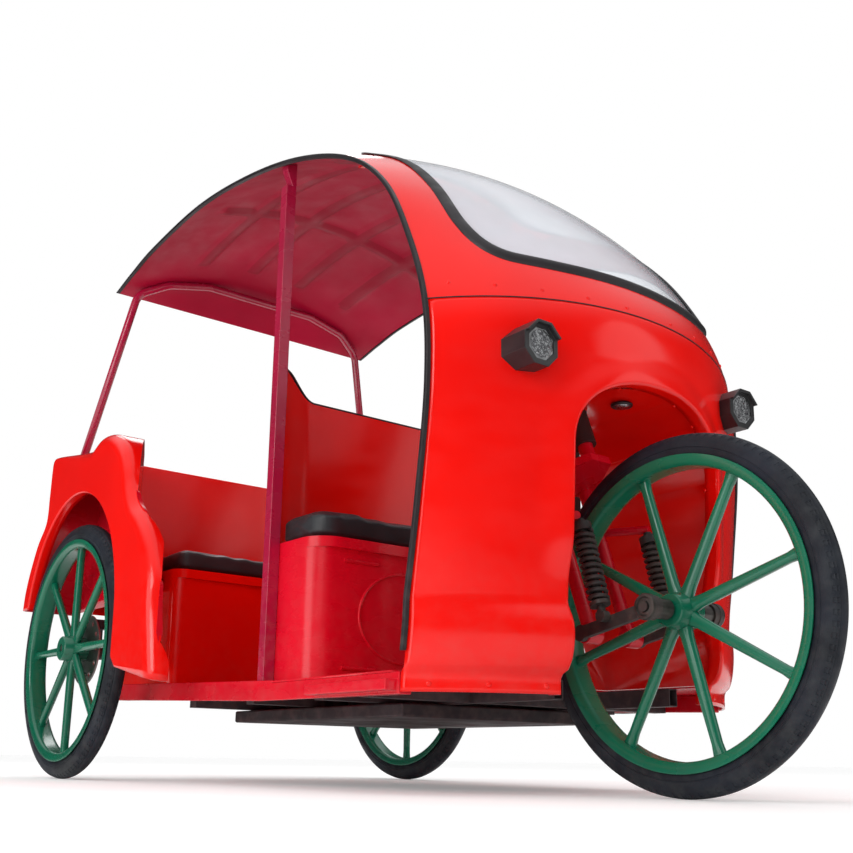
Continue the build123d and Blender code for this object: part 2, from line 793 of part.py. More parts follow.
def driver_cushion():
    """Cushion whose back follows the bend of the backrest."""
    low = driver_seat_top + seat_gap
    half = seat_half - 4
    back = driver_back_x + 12
    outline = [(back, -back_bend_y + 20), (back + 30, -back_bend_y - 55), (back + 88, -395),
               (driver_widest_x, -half), (driver_front + 2, -half)]
    points = outline + [(x, -y) for x, y in reversed(outline)]
    face = make_face(Polyline(*[(at(x), y, low) for x, y in points], close=True))
    face = fillet(face.vertices().sort_by(Axis.X)[-2:], driver_corner)
    return extrude(face, amount=driver_cushion_top - low, dir=(0, 0, 1))


def driver_back():
    """Upright panel, flat in the middle, with raised wings bent forward."""
    low = driver_seat_top + seat_gap
    bend_x = driver_back_x + back_bend_radius

    def bend(radius, share, side):
        angle = radians(back_bend_angle * share)
        return (at(bend_x - radius * cos(angle)), side * (back_bend_y + radius * sin(angle)), low)

    front = back_bend_radius
    rear = back_bend_radius + back_thickness
    plan = make_face([
        Line(bend(front, 0, -1), bend(front, 0, 1)),
        ThreePointArc(bend(front, 0, 1), bend(front, 0.5, 1), bend(front, 1, 1)),
        Line(bend(front, 1, 1), bend(rear, 1, 1)),
        ThreePointArc(bend(rear, 1, 1), bend(rear, 0.5, 1), bend(rear, 0, 1)),
        Line(bend(rear, 0, 1), bend(rear, 0, -1)),
        ThreePointArc(bend(rear, 0, -1), bend(rear, 0.5, -1), bend(rear, 1, -1)),
        Line(bend(rear, 1, -1), bend(front, 1, -1)),
        ThreePointArc(bend(front, 1, -1), bend(front, 0.5, -1), bend(front, 0, -1)),
    ])
    standing = extrude(plan, amount=wing_top - low + 20, dir=(0, 0, 1))
    x = at(driver_rear - 20)
    right = [(x, -460, low - 1), (x, -460, 940), (x, -432, 1006), (x, -396, wing_top),
             (x, -368, wing_top - 6), (x, -330, (wing_top + back_top) / 2),
             (x, -292, back_top + 3), (x, -260, back_top)]
    left = [(x, -y, z) for x, y, z in reversed(right)]
    outline = make_face([
        Line(left[-1], right[0]), Line(right[0], right[1]),
        ThreePointArc(right[1], right[2], right[3]), Spline(*right[3:]),
        Line(right[7], left[0]), Spline(*left[:5]),
        ThreePointArc(left[4], left[5], left[6]), Line(left[6], left[7]),
    ])
    return standing & extrude(outline, amount=200, dir=(1, 0, 0))


def bench_back():
    low = bench_top + seat_gap
    plate = block(bench_back_x - back_thickness, bench_back_x, -bench_half, bench_half, low,
                  bench_back_top)
    foot = Axis((at(bench_back_x - back_thickness), 0, low), (0, 1, 0))
    return plate.rotate(foot, -back_lean)


# Lamps

def lamp_pod(side):
    """Eight-sided lamp with a brow, facing forward, its back cut to the nose."""
    y = side * lamp_offset
    pod = extrude(octagon(lamp_back, y, lamp_height, lamp_half), amount=lamp_front - lamp_back)
    recess = extrude(octagon(lamp_front - lens_recess, y, lamp_height, lens_half),
                     amount=2 * lens_recess)
    ring = octagon(lamp_front - 1, y, lamp_height, lamp_half) - octagon(
        lamp_front - 1, y, lamp_height, lamp_half - brow_thickness)
    above = block(lamp_front - 2, lamp_front + brow_reach, y - lamp_half, y + lamp_half,
                  lamp_height + 16, lamp_height + lamp_half)
    brow = extrude(ring, amount=brow_reach) & above
    return pod - recess + brow


def lamp_lens(side):
    face = octagon(lamp_front - lens_recess, side * lamp_offset, lamp_height,
                   lens_half - seat_gap)
    return extrude(face, amount=lens_thickness)


def tail_lamp(side):
    place = Pos(at(tail_lamp_x), side * tail_lamp_offset, tail_lamp_height)
    drum = Rot(0, 90, 0) * Cylinder(tail_lamp_radius, tail_lamp_depth)
    return place * drum - quarter(side)


# Posts and hoop

def post(side, under_roof):
    """Post from the sill to the underside of the roof."""
    middle = side * post_offset
    half = post_size / 2
    column = block(post_x - half, post_x + half, middle - half, middle + half,
                   floor_top + seat_gap, post_top)
    end = block(post_x - half, post_x + half, middle - half, middle + half, post_top - 1, 1600)
    return column + (end & under_roof) - sill_room()


def hoop():
    """Rear hoop from quarter to quarter under the roof, its legs splayed."""
    right = [(hoop_foot_x, -hoop_foot_y, quarter_top - 20)] + [(x, -y, z) for x, y, z in hoop_run]
    path = right + [(x, -y, z) for x, y, z in reversed(right)]
    tube = tube_along(path, [60] * (len(path) - 2), hoop_diameter)
    rise = quarter_top + quarter_rear_rise + seat_gap
    slope_end = quarter_top - 22 + seat_gap
    below = [(quarter_rear - 60, rise), (quarter_rear + 12, rise), (knob_x - 75, slope_end),
             (knob_x - 75, quarter_top - 100), (quarter_rear - 60, quarter_top - 100)]
    through_roof = band(cowl_stations, 40.0, 40.0 + shell + seat_gap)
    return tube - side_profile(below, -quarter_outer, quarter_outer) - through_roof


wheel_solid = wheel()
tyre_solid = tyre()
disc_solid = brake_disc()
front_seat = Pos(at(front_wheel), 0, tyre_radius)
save(front_seat * Rot(0, -spoke_turn, 0) * wheel_solid, "front_wheel")
save(front_seat * tyre_solid, "front_tyre")
for side, name in ((-1, "right"), (1, "left")):
    place = Pos(at(rear_wheel), side * half_track, tyre_radius)
    save(place * wheel_solid, f"rear_wheel_{name}")
    save(place * tyre_solid, f"rear_tyre_{name}")
    disc_y = side * (half_track - hub_length / 2 - disc_thickness / 2)
    save(Pos(at(rear_wheel), disc_y, tyre_radius) * disc_solid, f"brake_disc_{name}")
    save(quarter(side), f"rear_quarter_{name}")
    save(edge_trim(cowl_stations, side), f"roof_trim_{name}")
    trim = edge_trim(nose_stations, side) + edge_trim(nose_bumper, side, ruled=True)
    save(trim, f"door_trim_{name}")

for build, name in ((leaf_spring, "leaf_springs"), (sill, "side_sills"),
                    (link_arm, "link_arms"), (spring_unit, "front_springs"),
                    (lamp_lens, "lamp_lenses"), (tail_lamp, "tail_lamps")):
    save(Compound(children=[build(-1), build(1)]), name)
save(fork(), "steering_fork")
save(front_axle(), "front_axle")
save(handlebar(), "handlebar")
head_tube = along_steer(stem_radius + head_wall, head_low, head_high) - along_steer(
    stem_radius + running_gap, head_low - 5, head_high + 5)
beam = block(well_rear - brace_rear, steer_head_x - 8, -beam_half, beam_half, beam_low, beam_high)
beam = beam - along_steer(stem_radius + 4, head_low, head_high)
brace = block(well_rear - brace_rear, well_rear - brace_front, -brace_outer, -brace_inner,
              floor_top + seat_gap, beam_high)
brace = brace + mirror_y(brace) + block(well_rear - brace_rear, well_rear - brace_front,
                                        -brace_outer, brace_outer, beam_low, beam_high)
save(head_tube + beam + brace, "steering_head")

save(chassis(), "chassis_frame")
save(floor_pan(), "floor_pan")
save(block(*battery_box), "battery_box")
save(rear_axle(), "rear_axle")
motor_x = rear_wheel + housing_radius + seat_gap + motor_length / 2
motor = Pos(at(motor_x), 0, tyre_radius) * Rot(0, 90, 0) * Cylinder(motor_radius, motor_length)
save(motor, "drive_motor")

save(nose_shell(), "nose_shell")
save(wheel_well(), "wheel_well")
opening = front_prism(screen_outline, *screen_reach)
save(band(cowl_stations) - opening, "roof_shell")
save(band(screen_stations, -0.5, screen_thickness) & opening, "windscreen")

under_roof = band(cowl_stations, -(shell + seat_gap), under_roof_depth)
for side, name in ((-1, "right"), (1, "left")):
    save(post(side, under_roof), f"middle_post_{name}")
save(hoop(), "rear_hoop")

save(tail_panel(), "tail_panel")
bench = seat_base(bench_rear, bench_front, bench_top, bench_half, bench_corner)
axle_room = block(bench_rear - 1, rear_wheel + 45, -bench_half - 1, bench_half + 1,
                  floor_top, tyre_radius + 85)
save(bench - axle_room, "bench_base")
save(bench_cushion(), "bench_cushion")
save(bench_back(), "bench_back")
save(seat_base(driver_rear, driver_front, driver_seat_top, seat_half, driver_corner,
               driver_rear_half), "driver_base")
save(driver_cushion(), "driver_cushion")
save(driver_back(), "driver_back")

behind_surface = band(nose_stations, seat_gap, 120.0)
for side, name in ((-1, "right"), (1, "left")):
    save(lamp_pod(side) - behind_surface, f"lamp_pod_{name}")
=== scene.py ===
import bpy
import bmesh
import json
from math import asin, atan2, cos, hypot, pi, radians, sin, sqrt
from mathutils import Matrix, Vector

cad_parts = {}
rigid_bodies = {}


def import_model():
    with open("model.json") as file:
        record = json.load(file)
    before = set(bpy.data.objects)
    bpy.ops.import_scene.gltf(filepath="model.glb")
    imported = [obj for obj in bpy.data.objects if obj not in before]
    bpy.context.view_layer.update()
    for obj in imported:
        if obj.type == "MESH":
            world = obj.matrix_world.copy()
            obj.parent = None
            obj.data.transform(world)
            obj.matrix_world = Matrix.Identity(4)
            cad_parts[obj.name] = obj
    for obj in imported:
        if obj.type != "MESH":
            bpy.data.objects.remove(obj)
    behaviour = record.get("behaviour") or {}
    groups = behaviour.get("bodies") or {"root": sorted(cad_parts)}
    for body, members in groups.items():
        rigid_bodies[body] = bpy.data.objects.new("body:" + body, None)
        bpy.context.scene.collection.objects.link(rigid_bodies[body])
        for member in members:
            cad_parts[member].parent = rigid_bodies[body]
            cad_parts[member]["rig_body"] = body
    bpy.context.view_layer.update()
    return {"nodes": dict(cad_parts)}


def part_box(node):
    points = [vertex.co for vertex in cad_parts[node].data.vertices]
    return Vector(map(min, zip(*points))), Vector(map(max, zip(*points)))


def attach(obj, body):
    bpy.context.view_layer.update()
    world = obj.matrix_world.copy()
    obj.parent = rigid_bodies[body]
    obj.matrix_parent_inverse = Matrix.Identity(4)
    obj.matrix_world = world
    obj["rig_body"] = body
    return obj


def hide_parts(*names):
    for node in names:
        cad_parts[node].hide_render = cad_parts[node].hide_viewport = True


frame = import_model()
print("stage: frame loaded")

wheelRadius = 0.358
rearWheelPlace = 0.018
frontWheelPlace = 1.710
halfTrack = 0.596
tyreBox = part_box("rear_tyre_right")
zeroX = (tyreBox[0].x + tyreBox[1].x) / 2 - rearWheelPlace


def at(x):
    return zeroX + x


def placed(name, data):
    thing = bpy.data.objects.new(name, data)
    bpy.context.scene.collection.objects.link(thing)
    return thing


def meshFrom(shape, name):
    data = bpy.data.meshes.new(name)
    shape.to_mesh(data)
    shape.free()
    return data


def applyModifier(piece, modifier):
    ready = piece.evaluated_get(bpy.context.evaluated_depsgraph_get())
    data = bpy.data.meshes.new_from_object(ready)
    piece.modifiers.remove(modifier)
    piece.data = data


# Camera, standing where the photograph was taken, close to the ground

cameraSetup = {
    "place": (3.092, -1.700, 0.0666), "yaw": 0.656, "pitch": 0.232, "roll": 0.015,
    "lens": 45.83, "film": 36.0, "shiftY": 0.0897, "farthest": 60.0,
}


def makeCamera():
    setup = cameraSetup
    yaw, pitch, roll = setup["yaw"], setup["pitch"], setup["roll"]
    forward = Vector((-cos(yaw) * cos(pitch), sin(yaw) * cos(pitch), sin(pitch)))
    right = forward.cross(Vector((0, 0, 1))).normalized()
    up = right.cross(forward)
    rightTurned = right * cos(roll) + up * sin(roll)
    upTurned = up * cos(roll) - right * sin(roll)
    data = bpy.data.cameras.new("camera")
    data.lens = setup["lens"]
    data.sensor_width = setup["film"]
    data.shift_y = setup["shiftY"]
    data.clip_end = setup["farthest"]
    camera = placed("camera", data)
    turn = Matrix((rightTurned, upTurned, -forward)).transposed()
    x, y, z = setup["place"]
    camera.matrix_world = Matrix.Translation((at(x), y, z)) @ turn.to_4x4()
    bpy.context.scene.camera = camera


makeCamera()


# Shader nodes of a material or the world

def addNode(owner, kind, **values):
    node = owner.node_tree.nodes.new(kind)
    for key, value in values.items():
        if key in node.inputs:
            node.inputs[key].default_value = value
        else:
            setattr(node, key, value)
    return node


def join(start, end):
    start.id_data.links.new(start, end)


def rangeOn(owner, source, before, after=(0.0, 1.0), way="LINEAR"):
    node = addNode(owner, "ShaderNodeMapRange", interpolation_type=way)
    for name, value in zip(("From Min", "From Max", "To Min", "To Max"), (*before, *after)):
        node.inputs[name].default_value = value
    join(source, node.inputs["Value"])
    return node.outputs[0]


def newMaterial(name, colour, rough, metallic=0.0, coat=0.0, coatRough=0.08, specular=0.5):
    material = bpy.data.materials.new(name)
    material.use_nodes = True
    shader = material.node_tree.nodes["Principled BSDF"]
    shader.inputs["Base Color"].default_value = (*colour, 1)
    shader.inputs["Roughness"].default_value = rough
    shader.inputs["Metallic"].default_value = metallic
    shader.inputs["Coat Weight"].default_value = coat
    shader.inputs["Coat Roughness"].default_value = coatRough
    shader.inputs["Specular IOR Level"].default_value = specular
    return material, shader


# Floor, backdrop and soft light

studio = {
    "floorHalf": 40.0, "floorGlow": 0.17, "worldStrength": 0.86,
    "mirroredHeights": (0.48, 0.82), "mirroredStrengths": (0.03, 1.1), "aim": (0, 0, 0.8),
    "lamps": (  # name, place, size, power
        ("key", (2.2, -5.0, 3.0), 2.2, 62.0),
        ("fill", (4.5, 3.0, 2.6), 3.0, 22.0),
        ("cabin", (0.3, -2.9, 0.9), 1.8, 18.0),
        ("back", (-3.5, 1.0, 4.2), 2.4, 40.0),
    ),
}


def makeFloor():
    shape = bmesh.new()
    bmesh.ops.create_grid(shape, x_segments=1, y_segments=1, size=studio["floorHalf"])
    data = meshFrom(shape, "floor")
    floor = placed("floor", data)
    material, shader = newMaterial("paleFloor", (0.96, 0.96, 0.96), 0.85)
    shader.inputs["Emission Color"].default_value = (1, 1, 1, 1)
    ray = addNode(material, "ShaderNodeLightPath")
    glow = addNode(material, "ShaderNodeMath", operation="MULTIPLY")
    glow.inputs[1].default_value = studio["floorGlow"]
    join(ray.outputs["Is Camera Ray"], glow.inputs[0])
    join(glow.outputs[0], shader.inputs["Emission Strength"])
    data.materials.append(material)


def makeWorld():
    world = bpy.data.worlds.new("softWhite")
    bpy.context.scene.world = world
    world.use_nodes = True
    world.node_tree.nodes.clear()
    out = addNode(world, "ShaderNodeOutputWorld")
    seen = addNode(world, "ShaderNodeBackground", Color=(1, 1, 1, 1), Strength=1.0)
    light = addNode(world, "ShaderNodeBackground", Color=(1, 1, 1, 1),
            Strength=studio["worldStrength"])

    # reflections see a dim horizon and a bright ceiling
    place = addNode(world, "ShaderNodeTexCoord")
    split = addNode(world, "ShaderNodeSeparateXYZ")
    join(place.outputs["Generated"], split.inputs[0])
    glow = rangeOn(world, split.outputs["Z"], studio["mirroredHeights"],
            studio["mirroredStrengths"], "SMOOTHSTEP")
    mirrored = addNode(world, "ShaderNodeBackground", Color=(0.96, 0.98, 1.0, 1))
    join(glow, mirrored.inputs["Strength"])

    # the camera and clear glass see plain white
    path = addNode(world, "ShaderNodeLightPath")
    direct = addNode(world, "ShaderNodeMath", operation="MAXIMUM")
    join(path.outputs["Is Camera Ray"], direct.inputs[0])
    join(path.outputs["Is Transmission Ray"], direct.inputs[1])
    lit = addNode(world, "ShaderNodeMixShader")
    mix = addNode(world, "ShaderNodeMixShader")
    for node, share, usual, other in (
            (lit, path.outputs["Is Glossy Ray"], light, mirrored),
            (mix, direct.outputs[0], lit, seen)):
        join(share, node.inputs[0])
        join(usual.outputs[0], node.inputs[1])
        join(other.outputs[0], node.inputs[2])
    join(mix.outputs[0], out.inputs["Surface"])


def makeLights():
    for name, place, size, power in studio["lamps"]:
        data = bpy.data.lights.new(name, "AREA")
        data.shape = "DISK"
        data.size = size
        data.energy = power
        lamp = placed(name, data)
        lamp.location = place
        aim = Vector(studio["aim"]) - Vector(place)
        lamp.rotation_euler = aim.to_track_quat("-Z", "Y").to_euler()


makeFloor()
makeWorld()
makeLights()
bpy.context.scene.view_settings.view_transform = "Standard"
print("stage: camera and light")


# Materials, all on object coordinates

def noiseAt(material, scale, detail, stretch=(1, 1, 1)):
    place = addNode(material, "ShaderNodeTexCoord")
    turn = addNode(material, "ShaderNodeMapping")
    turn.inputs["Scale"].default_value = stretch
    noise = addNode(material, "ShaderNodeTexNoise", Scale=scale, Detail=detail)
    join(place.outputs["Object"], turn.inputs["Vector"])
    join(turn.outputs["Vector"], noise.inputs["Vector"])
    return noise.outputs["Fac"]


def rampOn(material, source, low, high, startColour, endColour):
    ramp = addNode(material, "ShaderNodeValToRGB")
    for stop, place, colour in zip(ramp.color_ramp.elements, (low, high),
            (startColour, endColour)):
        stop.position = place
        stop.color = (*colour, 1)
    join(source, ramp.inputs["Fac"])
    return ramp.outputs["Color"]


# Fine unevenness, blotches of tone, scuffs and dust that gathers low down

wear = {
    "toneDetail": 5.0, "toneSpan": (0.36, 0.66), "dustFoot": 0.12, "speckScale": 38.0,
    "speckDetail": 8.0, "speckSpan": (0.42, 0.72), "scuffScale": 9.0, "scuffDetail": 7.0,
    "scuffStretch": (1, 1, 2.5), "scuffSpan": (0.35, 0.7), "scuffRough": (0.8, 1.35),
    "grainDetail": 3.0, "grainDepth": 0.002,
}


def wornFinish(name, colour, deep, rough, dust=0.25, grain=600.0, bump=0.03, tone=3.0,
        dustTop=0.55, dustColour=(0.32, 0.26, 0.22), **extra):
    material, shader = newMaterial(name, colour, rough, **extra)
    blotch = noiseAt(material, tone, wear["toneDetail"])
    toned = rampOn(material, blotch, *wear["toneSpan"], deep, colour)

    place = addNode(material, "ShaderNodeTexCoord")
    split = addNode(material, "ShaderNodeSeparateXYZ")
    join(place.outputs["Object"], split.inputs[0])
    height = rangeOn(material, split.outputs["Z"], (wear["dustFoot"], dustTop), (dust, 0.0))
    specks = noiseAt(material, wear["speckScale"], wear["speckDetail"])
    amount = addNode(material, "ShaderNodeMath", operation="MULTIPLY")
    join(height, amount.inputs[0])
    join(rangeOn(material, specks, wear["speckSpan"]), amount.inputs[1])
    dusted = addNode(material, "ShaderNodeMix", data_type="RGBA")
    dusted.inputs["B"].default_value = (*dustColour, 1)
    join(amount.outputs[0], dusted.inputs["Factor"])
    join(toned, dusted.inputs["A"])
    join(dusted.outputs["Result"], shader.inputs["Base Color"])

    scuff = noiseAt(material, wear["scuffScale"], wear["scuffDetail"], wear["scuffStretch"])
    smooth, dull = wear["scuffRough"]
    scuffed = rangeOn(material, scuff, wear["scuffSpan"], (rough * smooth, min(1.0, rough * dull)))
    join(scuffed, shader.inputs["Roughness"])

    fine = noiseAt(material, grain, wear["grainDetail"])
    rise = addNode(material, "ShaderNodeBump", Strength=bump, Distance=wear["grainDepth"])
    join(fine, rise.inputs["Height"])
    join(rise.outputs["Normal"], shader.inputs["Normal"])
    join(rise.outputs["Normal"], shader.inputs["Coat Normal"])
    return material


smear = {"scale": 5.0, "detail": 6.0, "rough": (0.5, 2.0), "span": (0.3, 0.75), "paler": 1.12}


def glassFinish(name, colour, rough, clear):
    material, shader = newMaterial(name, colour, rough)
    shader.inputs["Alpha"].default_value = clear
    noise = noiseAt(material, smear["scale"], smear["detail"])
    dull = rangeOn(material, noise, (0.0, 1.0), [rough * part for part in smear["rough"]])
    join(dull, shader.inputs["Roughness"])
    tint = rampOn(material, noise, *smear["span"], colour,
            [min(1.0, part * smear["paler"]) for part in colour])
    join(tint, shader.inputs["Base Color"])
    return material


redPaint = wornFinish("redPaint", (0.88, 0.0042, 0.0012), (0.80, 0.003, 0.001), 0.16, dust=0.06,
        coat=0.15, specular=0.36)
# darker copy of the red paint for inner faces and cabin parts: painted shade
innerRedPaintedShade = wornFinish("innerRedPaintedShade", (0.72, 0.003, 0.018), (0.60, 0.002, 0.014), 0.26, dust=0.08,
        grain=240.0, bump=0.06, coat=0.25, specular=0.30)
# darker red of the roof's underside: painted shade
liningRedPaintedShade = wornFinish("liningRedPaintedShade", (0.44, 0.004, 0.040), (0.36, 0.003, 0.030), 0.5, dust=0.0,
        grain=160.0, bump=0.10, specular=0.22)
# still darker red on the lining's ribs: painted rib shadows
ribRedPaintedShadow = wornFinish("ribRedPaintedShadow", (0.34, 0.003, 0.028), (0.28, 0.002, 0.022), 0.5, dust=0.0,
        grain=160.0, bump=0.10, specular=0.22)
postPaint = wornFinish("postPaint", (0.40, 0.006, 0.045), (0.32, 0.005, 0.035), 0.26, coat=0.7,
        specular=0.60)
greenPaint = wornFinish("greenPaint", (0.001, 0.160, 0.082), (0.001, 0.115, 0.060), 0.24,
        dust=0.14, dustTop=0.7, dustColour=(0.05, 0.12, 0.10), grain=420.0,
        bump=0.05, coat=0.40, specular=0.45)
tyreRubber = wornFinish("tyreRubber", (0.012, 0.016, 0.026), (0.007, 0.009, 0.014), 0.55,
        dust=0.22, dustTop=0.9, dustColour=(0.085, 0.09, 0.085), grain=300.0,
        bump=0.25, tone=9.0, specular=0.30)
sealRubber = wornFinish("sealRubber", (0.018, 0.013, 0.016), (0.010, 0.008, 0.010), 0.5,
        dust=0.2, grain=500.0, bump=0.2, tone=12.0)
blackMetal = wornFinish("blackMetal", (0.016, 0.014, 0.015), (0.035, 0.024, 0.022), 0.5,
        dust=0.6, dustTop=0.8, dustColour=(0.11, 0.07, 0.055), grain=300.0, bump=0.2, tone=8.0)
bareSteel = wornFinish("bareSteel", (0.42, 0.41, 0.40), (0.24, 0.22, 0.21), 0.34, metallic=1.0,
        dust=0.3, grain=900.0, bump=0.08, tone=14.0)
axleSteel = wornFinish("axleSteel", (0.10, 0.095, 0.09), (0.05, 0.045, 0.04), 0.38, metallic=0.9,
        dust=0.3, grain=700.0, bump=0.12, tone=14.0)
lampPlastic = wornFinish("lampPlastic", (0.010, 0.010, 0.012), (0.016, 0.015, 0.016), 0.36,
        dust=0.0, grain=700.0, bump=0.1, tone=16.0)
framePaint = wornFinish("framePaint", (0.030, 0.018, 0.022), (0.016, 0.012, 0.014), 0.55,
        dust=0.5, dustColour=(0.12, 0.075, 0.07), grain=200.0, bump=0.2)
tailPlastic = wornFinish("tailPlastic", (0.045, 0.006, 0.006), (0.025, 0.004, 0.004), 0.25,
        dust=0.2, coat=0.5)
blackVinyl = wornFinish("blackVinyl", (0.012, 0.014, 0.016), (0.020, 0.022, 0.026), 0.42,
        dust=0.0, grain=420.0, bump=0.30, tone=14.0)
screenGlass = glassFinish("screenGlass", (0.78, 0.82, 0.88), 0.05, 0.55)
lensGlass = glassFinish("lensGlass", (0.62, 0.64, 0.66), 0.10, 0.45)
reflector = wornFinish("reflector", (0.52, 0.53, 0.54), (0.10, 0.10, 0.11), 0.22, metallic=1.0,
        dust=0.0, tone=180.0, grain=260.0, bump=0.9)
print("stage: materials")


# Ways of making a piece

weldGap = 0.00001
frameWeldGap = 0.00002
bevelSetup = {"segments": 3, "angle": 40.0}


def weld(shape, gap=weldGap):
    bmesh.ops.remove_doubles(shape, verts=shape.verts, dist=gap)


def shift(shape, vec):
    bmesh.ops.translate(shape, verts=shape.verts, vec=vec)


def openEdges(shape):
    return [edge for edge in shape.edges if edge.is_boundary]


def finishPiece(shape, name, materials, slotName, body="body", sharp=40.0, replaced=(), wall=0.0,
        bevel=0.0, smoothing=0, closeSeams=True, outward=True):
    if closeSeams:
        weld(shape)
    if outward:
        bmesh.ops.recalc_face_normals(shape, faces=shape.faces)
    data = meshFrom(shape, name)
    for face in data.polygons:
        face.use_smooth = True
    data.set_sharp_from_angle(angle=radians(sharp))
    piece = placed(name, data)
    for material in materials if isinstance(materials, list) else [materials]:
        data.materials.append(material)
    if wall:
        thick = piece.modifiers.new("wall", "SOLIDIFY")
        thick.thickness = wall
        thick.offset = -1.0
        thick.use_even_offset = False
        if len(data.materials) > 1:
            thick.material_offset = 1
    if bevel:
        edge = piece.modifiers.new("edge", "BEVEL")
        edge.width = bevel
        edge.segments = bevelSetup["segments"]
        edge.limit_method = "ANGLE"
        edge.angle_limit = radians(bevelSetup["angle"])
        edge.harden_normals = True
    if smoothing:
        fineness = piece.modifiers.new("fine", "SUBSURF")
        fineness.levels = smoothing
        fineness.render_levels = smoothing
    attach(piece, body)
    if replaced:
        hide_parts(*replaced)
    return piece


# Grid whose vertices are placed by a rule of two shares, each from 0 to 1

def surfaceBy(rule, across, along, into=None):
    shape = bmesh.new()
    bmesh.ops.create_grid(shape, x_segments=across, y_segments=along, size=0.5)
    for vertex in shape.verts:
        vertex.co = rule(vertex.co.x + 0.5, vertex.co.y + 0.5)
    return shape if into is None else mergeInto(into, shape)


def mergeInto(target, shape):
    data = meshFrom(shape, "part")
    target.from_mesh(data)
    bpy.data.meshes.remove(data)
    return target


def smoothStep(value):
    value = max(0.0, min(1.0, value))
    return value * value * (3 - 2 * value)


def stepBetween(value, low, high):
    return smoothStep((value - low) / (high - low))


# Smooth curve through rows of numbers, by share of a row

def through(rows, place):
    index = max(0, min(int(place), len(rows) - 2))
    t = place - index
    a, b = Vector(rows[index]), Vector(rows[index + 1])
    before = Vector(rows[index - 1]) if index > 0 else a * 2 - b
    after = Vector(rows[index + 2]) if index + 2 < len(rows) else b * 2 - a
    startWay = (b - before) / 2
    endWay = (after - a) / 2
    return (a * (2 * t ** 3 - 3 * t ** 2 + 1) + startWay * (t ** 3 - 2 * t ** 2 + t)
            + b * (3 * t ** 2 - 2 * t ** 3) + endWay * (t ** 3 - t ** 2))


# Bar along points; profile points are (sideways, upwards)

def roundProfile(radius, count, high=None):
    high = radius if high is None else high
    return [(radius * cos(2 * pi * i / count), high * sin(2 * pi * i / count))
            for i in range(count)]


def sweepAlong(points, profile, closed=False, upward=(0, 0, 1), into=None):
    count = len(points)
    sides = len(profile)
    up = Vector(upward)

    def rule(u, v):
        index = round(v * (count if closed else count - 1))
        ahead = Vector(points[(index + 1) % count if closed else min(index + 1, count - 1)])
        behind = Vector(points[(index - 1) % count if closed else max(index - 1, 0)])
        way = (ahead - behind).normalized()
        side = way.cross(up)
        side = side.normalized() if side.length > 0.001 else Vector((1, 0, 0))
        top = side.cross(way)
        a, b = profile[round(u * sides) % sides]
        return Vector(points[index % count]) + side * a + top * b

    shape = surfaceBy(rule, sides, count if closed else count - 1)
    weld(shape)
    if not closed:
        bmesh.ops.holes_fill(shape, edges=openEdges(shape), sides=sides)
    return shape if into is None else mergeInto(into, shape)


# Ball flattened along Z

def dome(across, along, radius, flat):
    shape = bmesh.new()
    bmesh.ops.create_uvsphere(shape, u_segments=across, v_segments=along, radius=radius)
    bmesh.ops.scale(shape, vec=(1, 1, flat), verts=shape.verts)
    return shape


# Turned shape about the Y axis from (radius, y) points

def lathe(profile, steps, centre=(0, 0, 0), into=None):
    shape = bmesh.new()
    corners = [shape.verts.new((radius, y, 0)) for radius, y in profile]
    edges = [shape.edges.new(pair) for pair in zip(corners, corners[1:] + corners[:1])]
    bmesh.ops.spin(shape, geom=corners + edges, axis=(0, 1, 0), cent=(0, 0, 0), angle=2 * pi,
            steps=steps, use_merge=True)
    weld(shape)
    shift(shape, centre)
    return shape if into is None else mergeInto(into, shape)


def mirrored(profile):
    return [(radius, -y) for radius, y in reversed(profile)]


# Copy of a construction piece with rounded edges

dressSetup = {"sharp": 35.0, "flat": 2.0}


def dressCopy(node, material, slotName, bevel):
    source = frame["nodes"][node]
    shape = bmesh.new()
    shape.from_mesh(source.data)
    weld(shape, frameWeldGap)
    if bevel:
        bmesh.ops.dissolve_limit(shape, angle_limit=radians(dressSetup["flat"]),
                verts=shape.verts, edges=shape.edges)
    finishPiece(shape, node + "_skin", material, slotName, body=source["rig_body"],
            sharp=dressSetup["sharp"], replaced=(node,), bevel=bevel,
            closeSeams=False, outward=False)


# Body shell, from the same rows as the construction: edge x, edge z, middle x, middle z

bodyHalf = 0.478
bumperRows = [
    (1.432, 0.190, 1.638, 0.190), (1.434, 0.224, 1.640, 0.224), (1.442, 0.236, 1.660, 0.236),
    (1.446, 0.266, 1.676, 0.266), (1.452, 0.318, 1.680, 0.318), (1.454, 0.363, 1.660, 0.363),
]
upperRows = [
    (1.454, 0.363, 1.660, 0.363), (1.484, 0.560, 1.668, 0.560), (1.508, 0.780, 1.672, 0.790),
    (1.496, 0.960, 1.664, 0.985), (1.435, 1.128, 1.582, 1.140), (1.345, 1.284, 1.445, 1.305),
    (1.201, 1.409, 1.262, 1.470), (0.973, 1.512, 1.000, 1.608), (0.707, 1.581, 0.712, 1.690),
    (0.410, 1.618, 0.405, 1.722), (0.104, 1.605, 0.080, 1.700), (-0.060, 1.578, -0.120, 1.640),
    (-0.180, 1.551, -0.204, 1.563),
]
seamRow = 3.0
lastRow = float(len(upperRows) - 1)
lookUp = {"highest": 9.0, "halvings": 22}


# Way outwards, rise, radius and half angle of a row's arc

def arcOf(row):
    way = Vector((row[2], row[3])) - Vector((row[0], row[1]))
    rise = way.length
    radius = (bodyHalf ** 2 + rise ** 2) / (2 * rise)
    return way / rise, rise, radius, atan2(bodyHalf, radius - rise)


def shellPoint(row, share, offset=0.0):
    out, rise, radius, full = arcOf(row)
    swing = full * share
    reach = (radius + offset) * cos(swing) - (radius - rise)
    return Vector((at(row[0] + out.x * reach), (radius + offset) * sin(swing),
            row[1] + out.y * reach))


def shellAcross(row, y, offset=0.0):
    out, rise, radius, full = arcOf(row)
    return shellPoint(row, max(-1.0, min(1.0, asin(max(-1, min(1, y / radius))) / full)), offset)


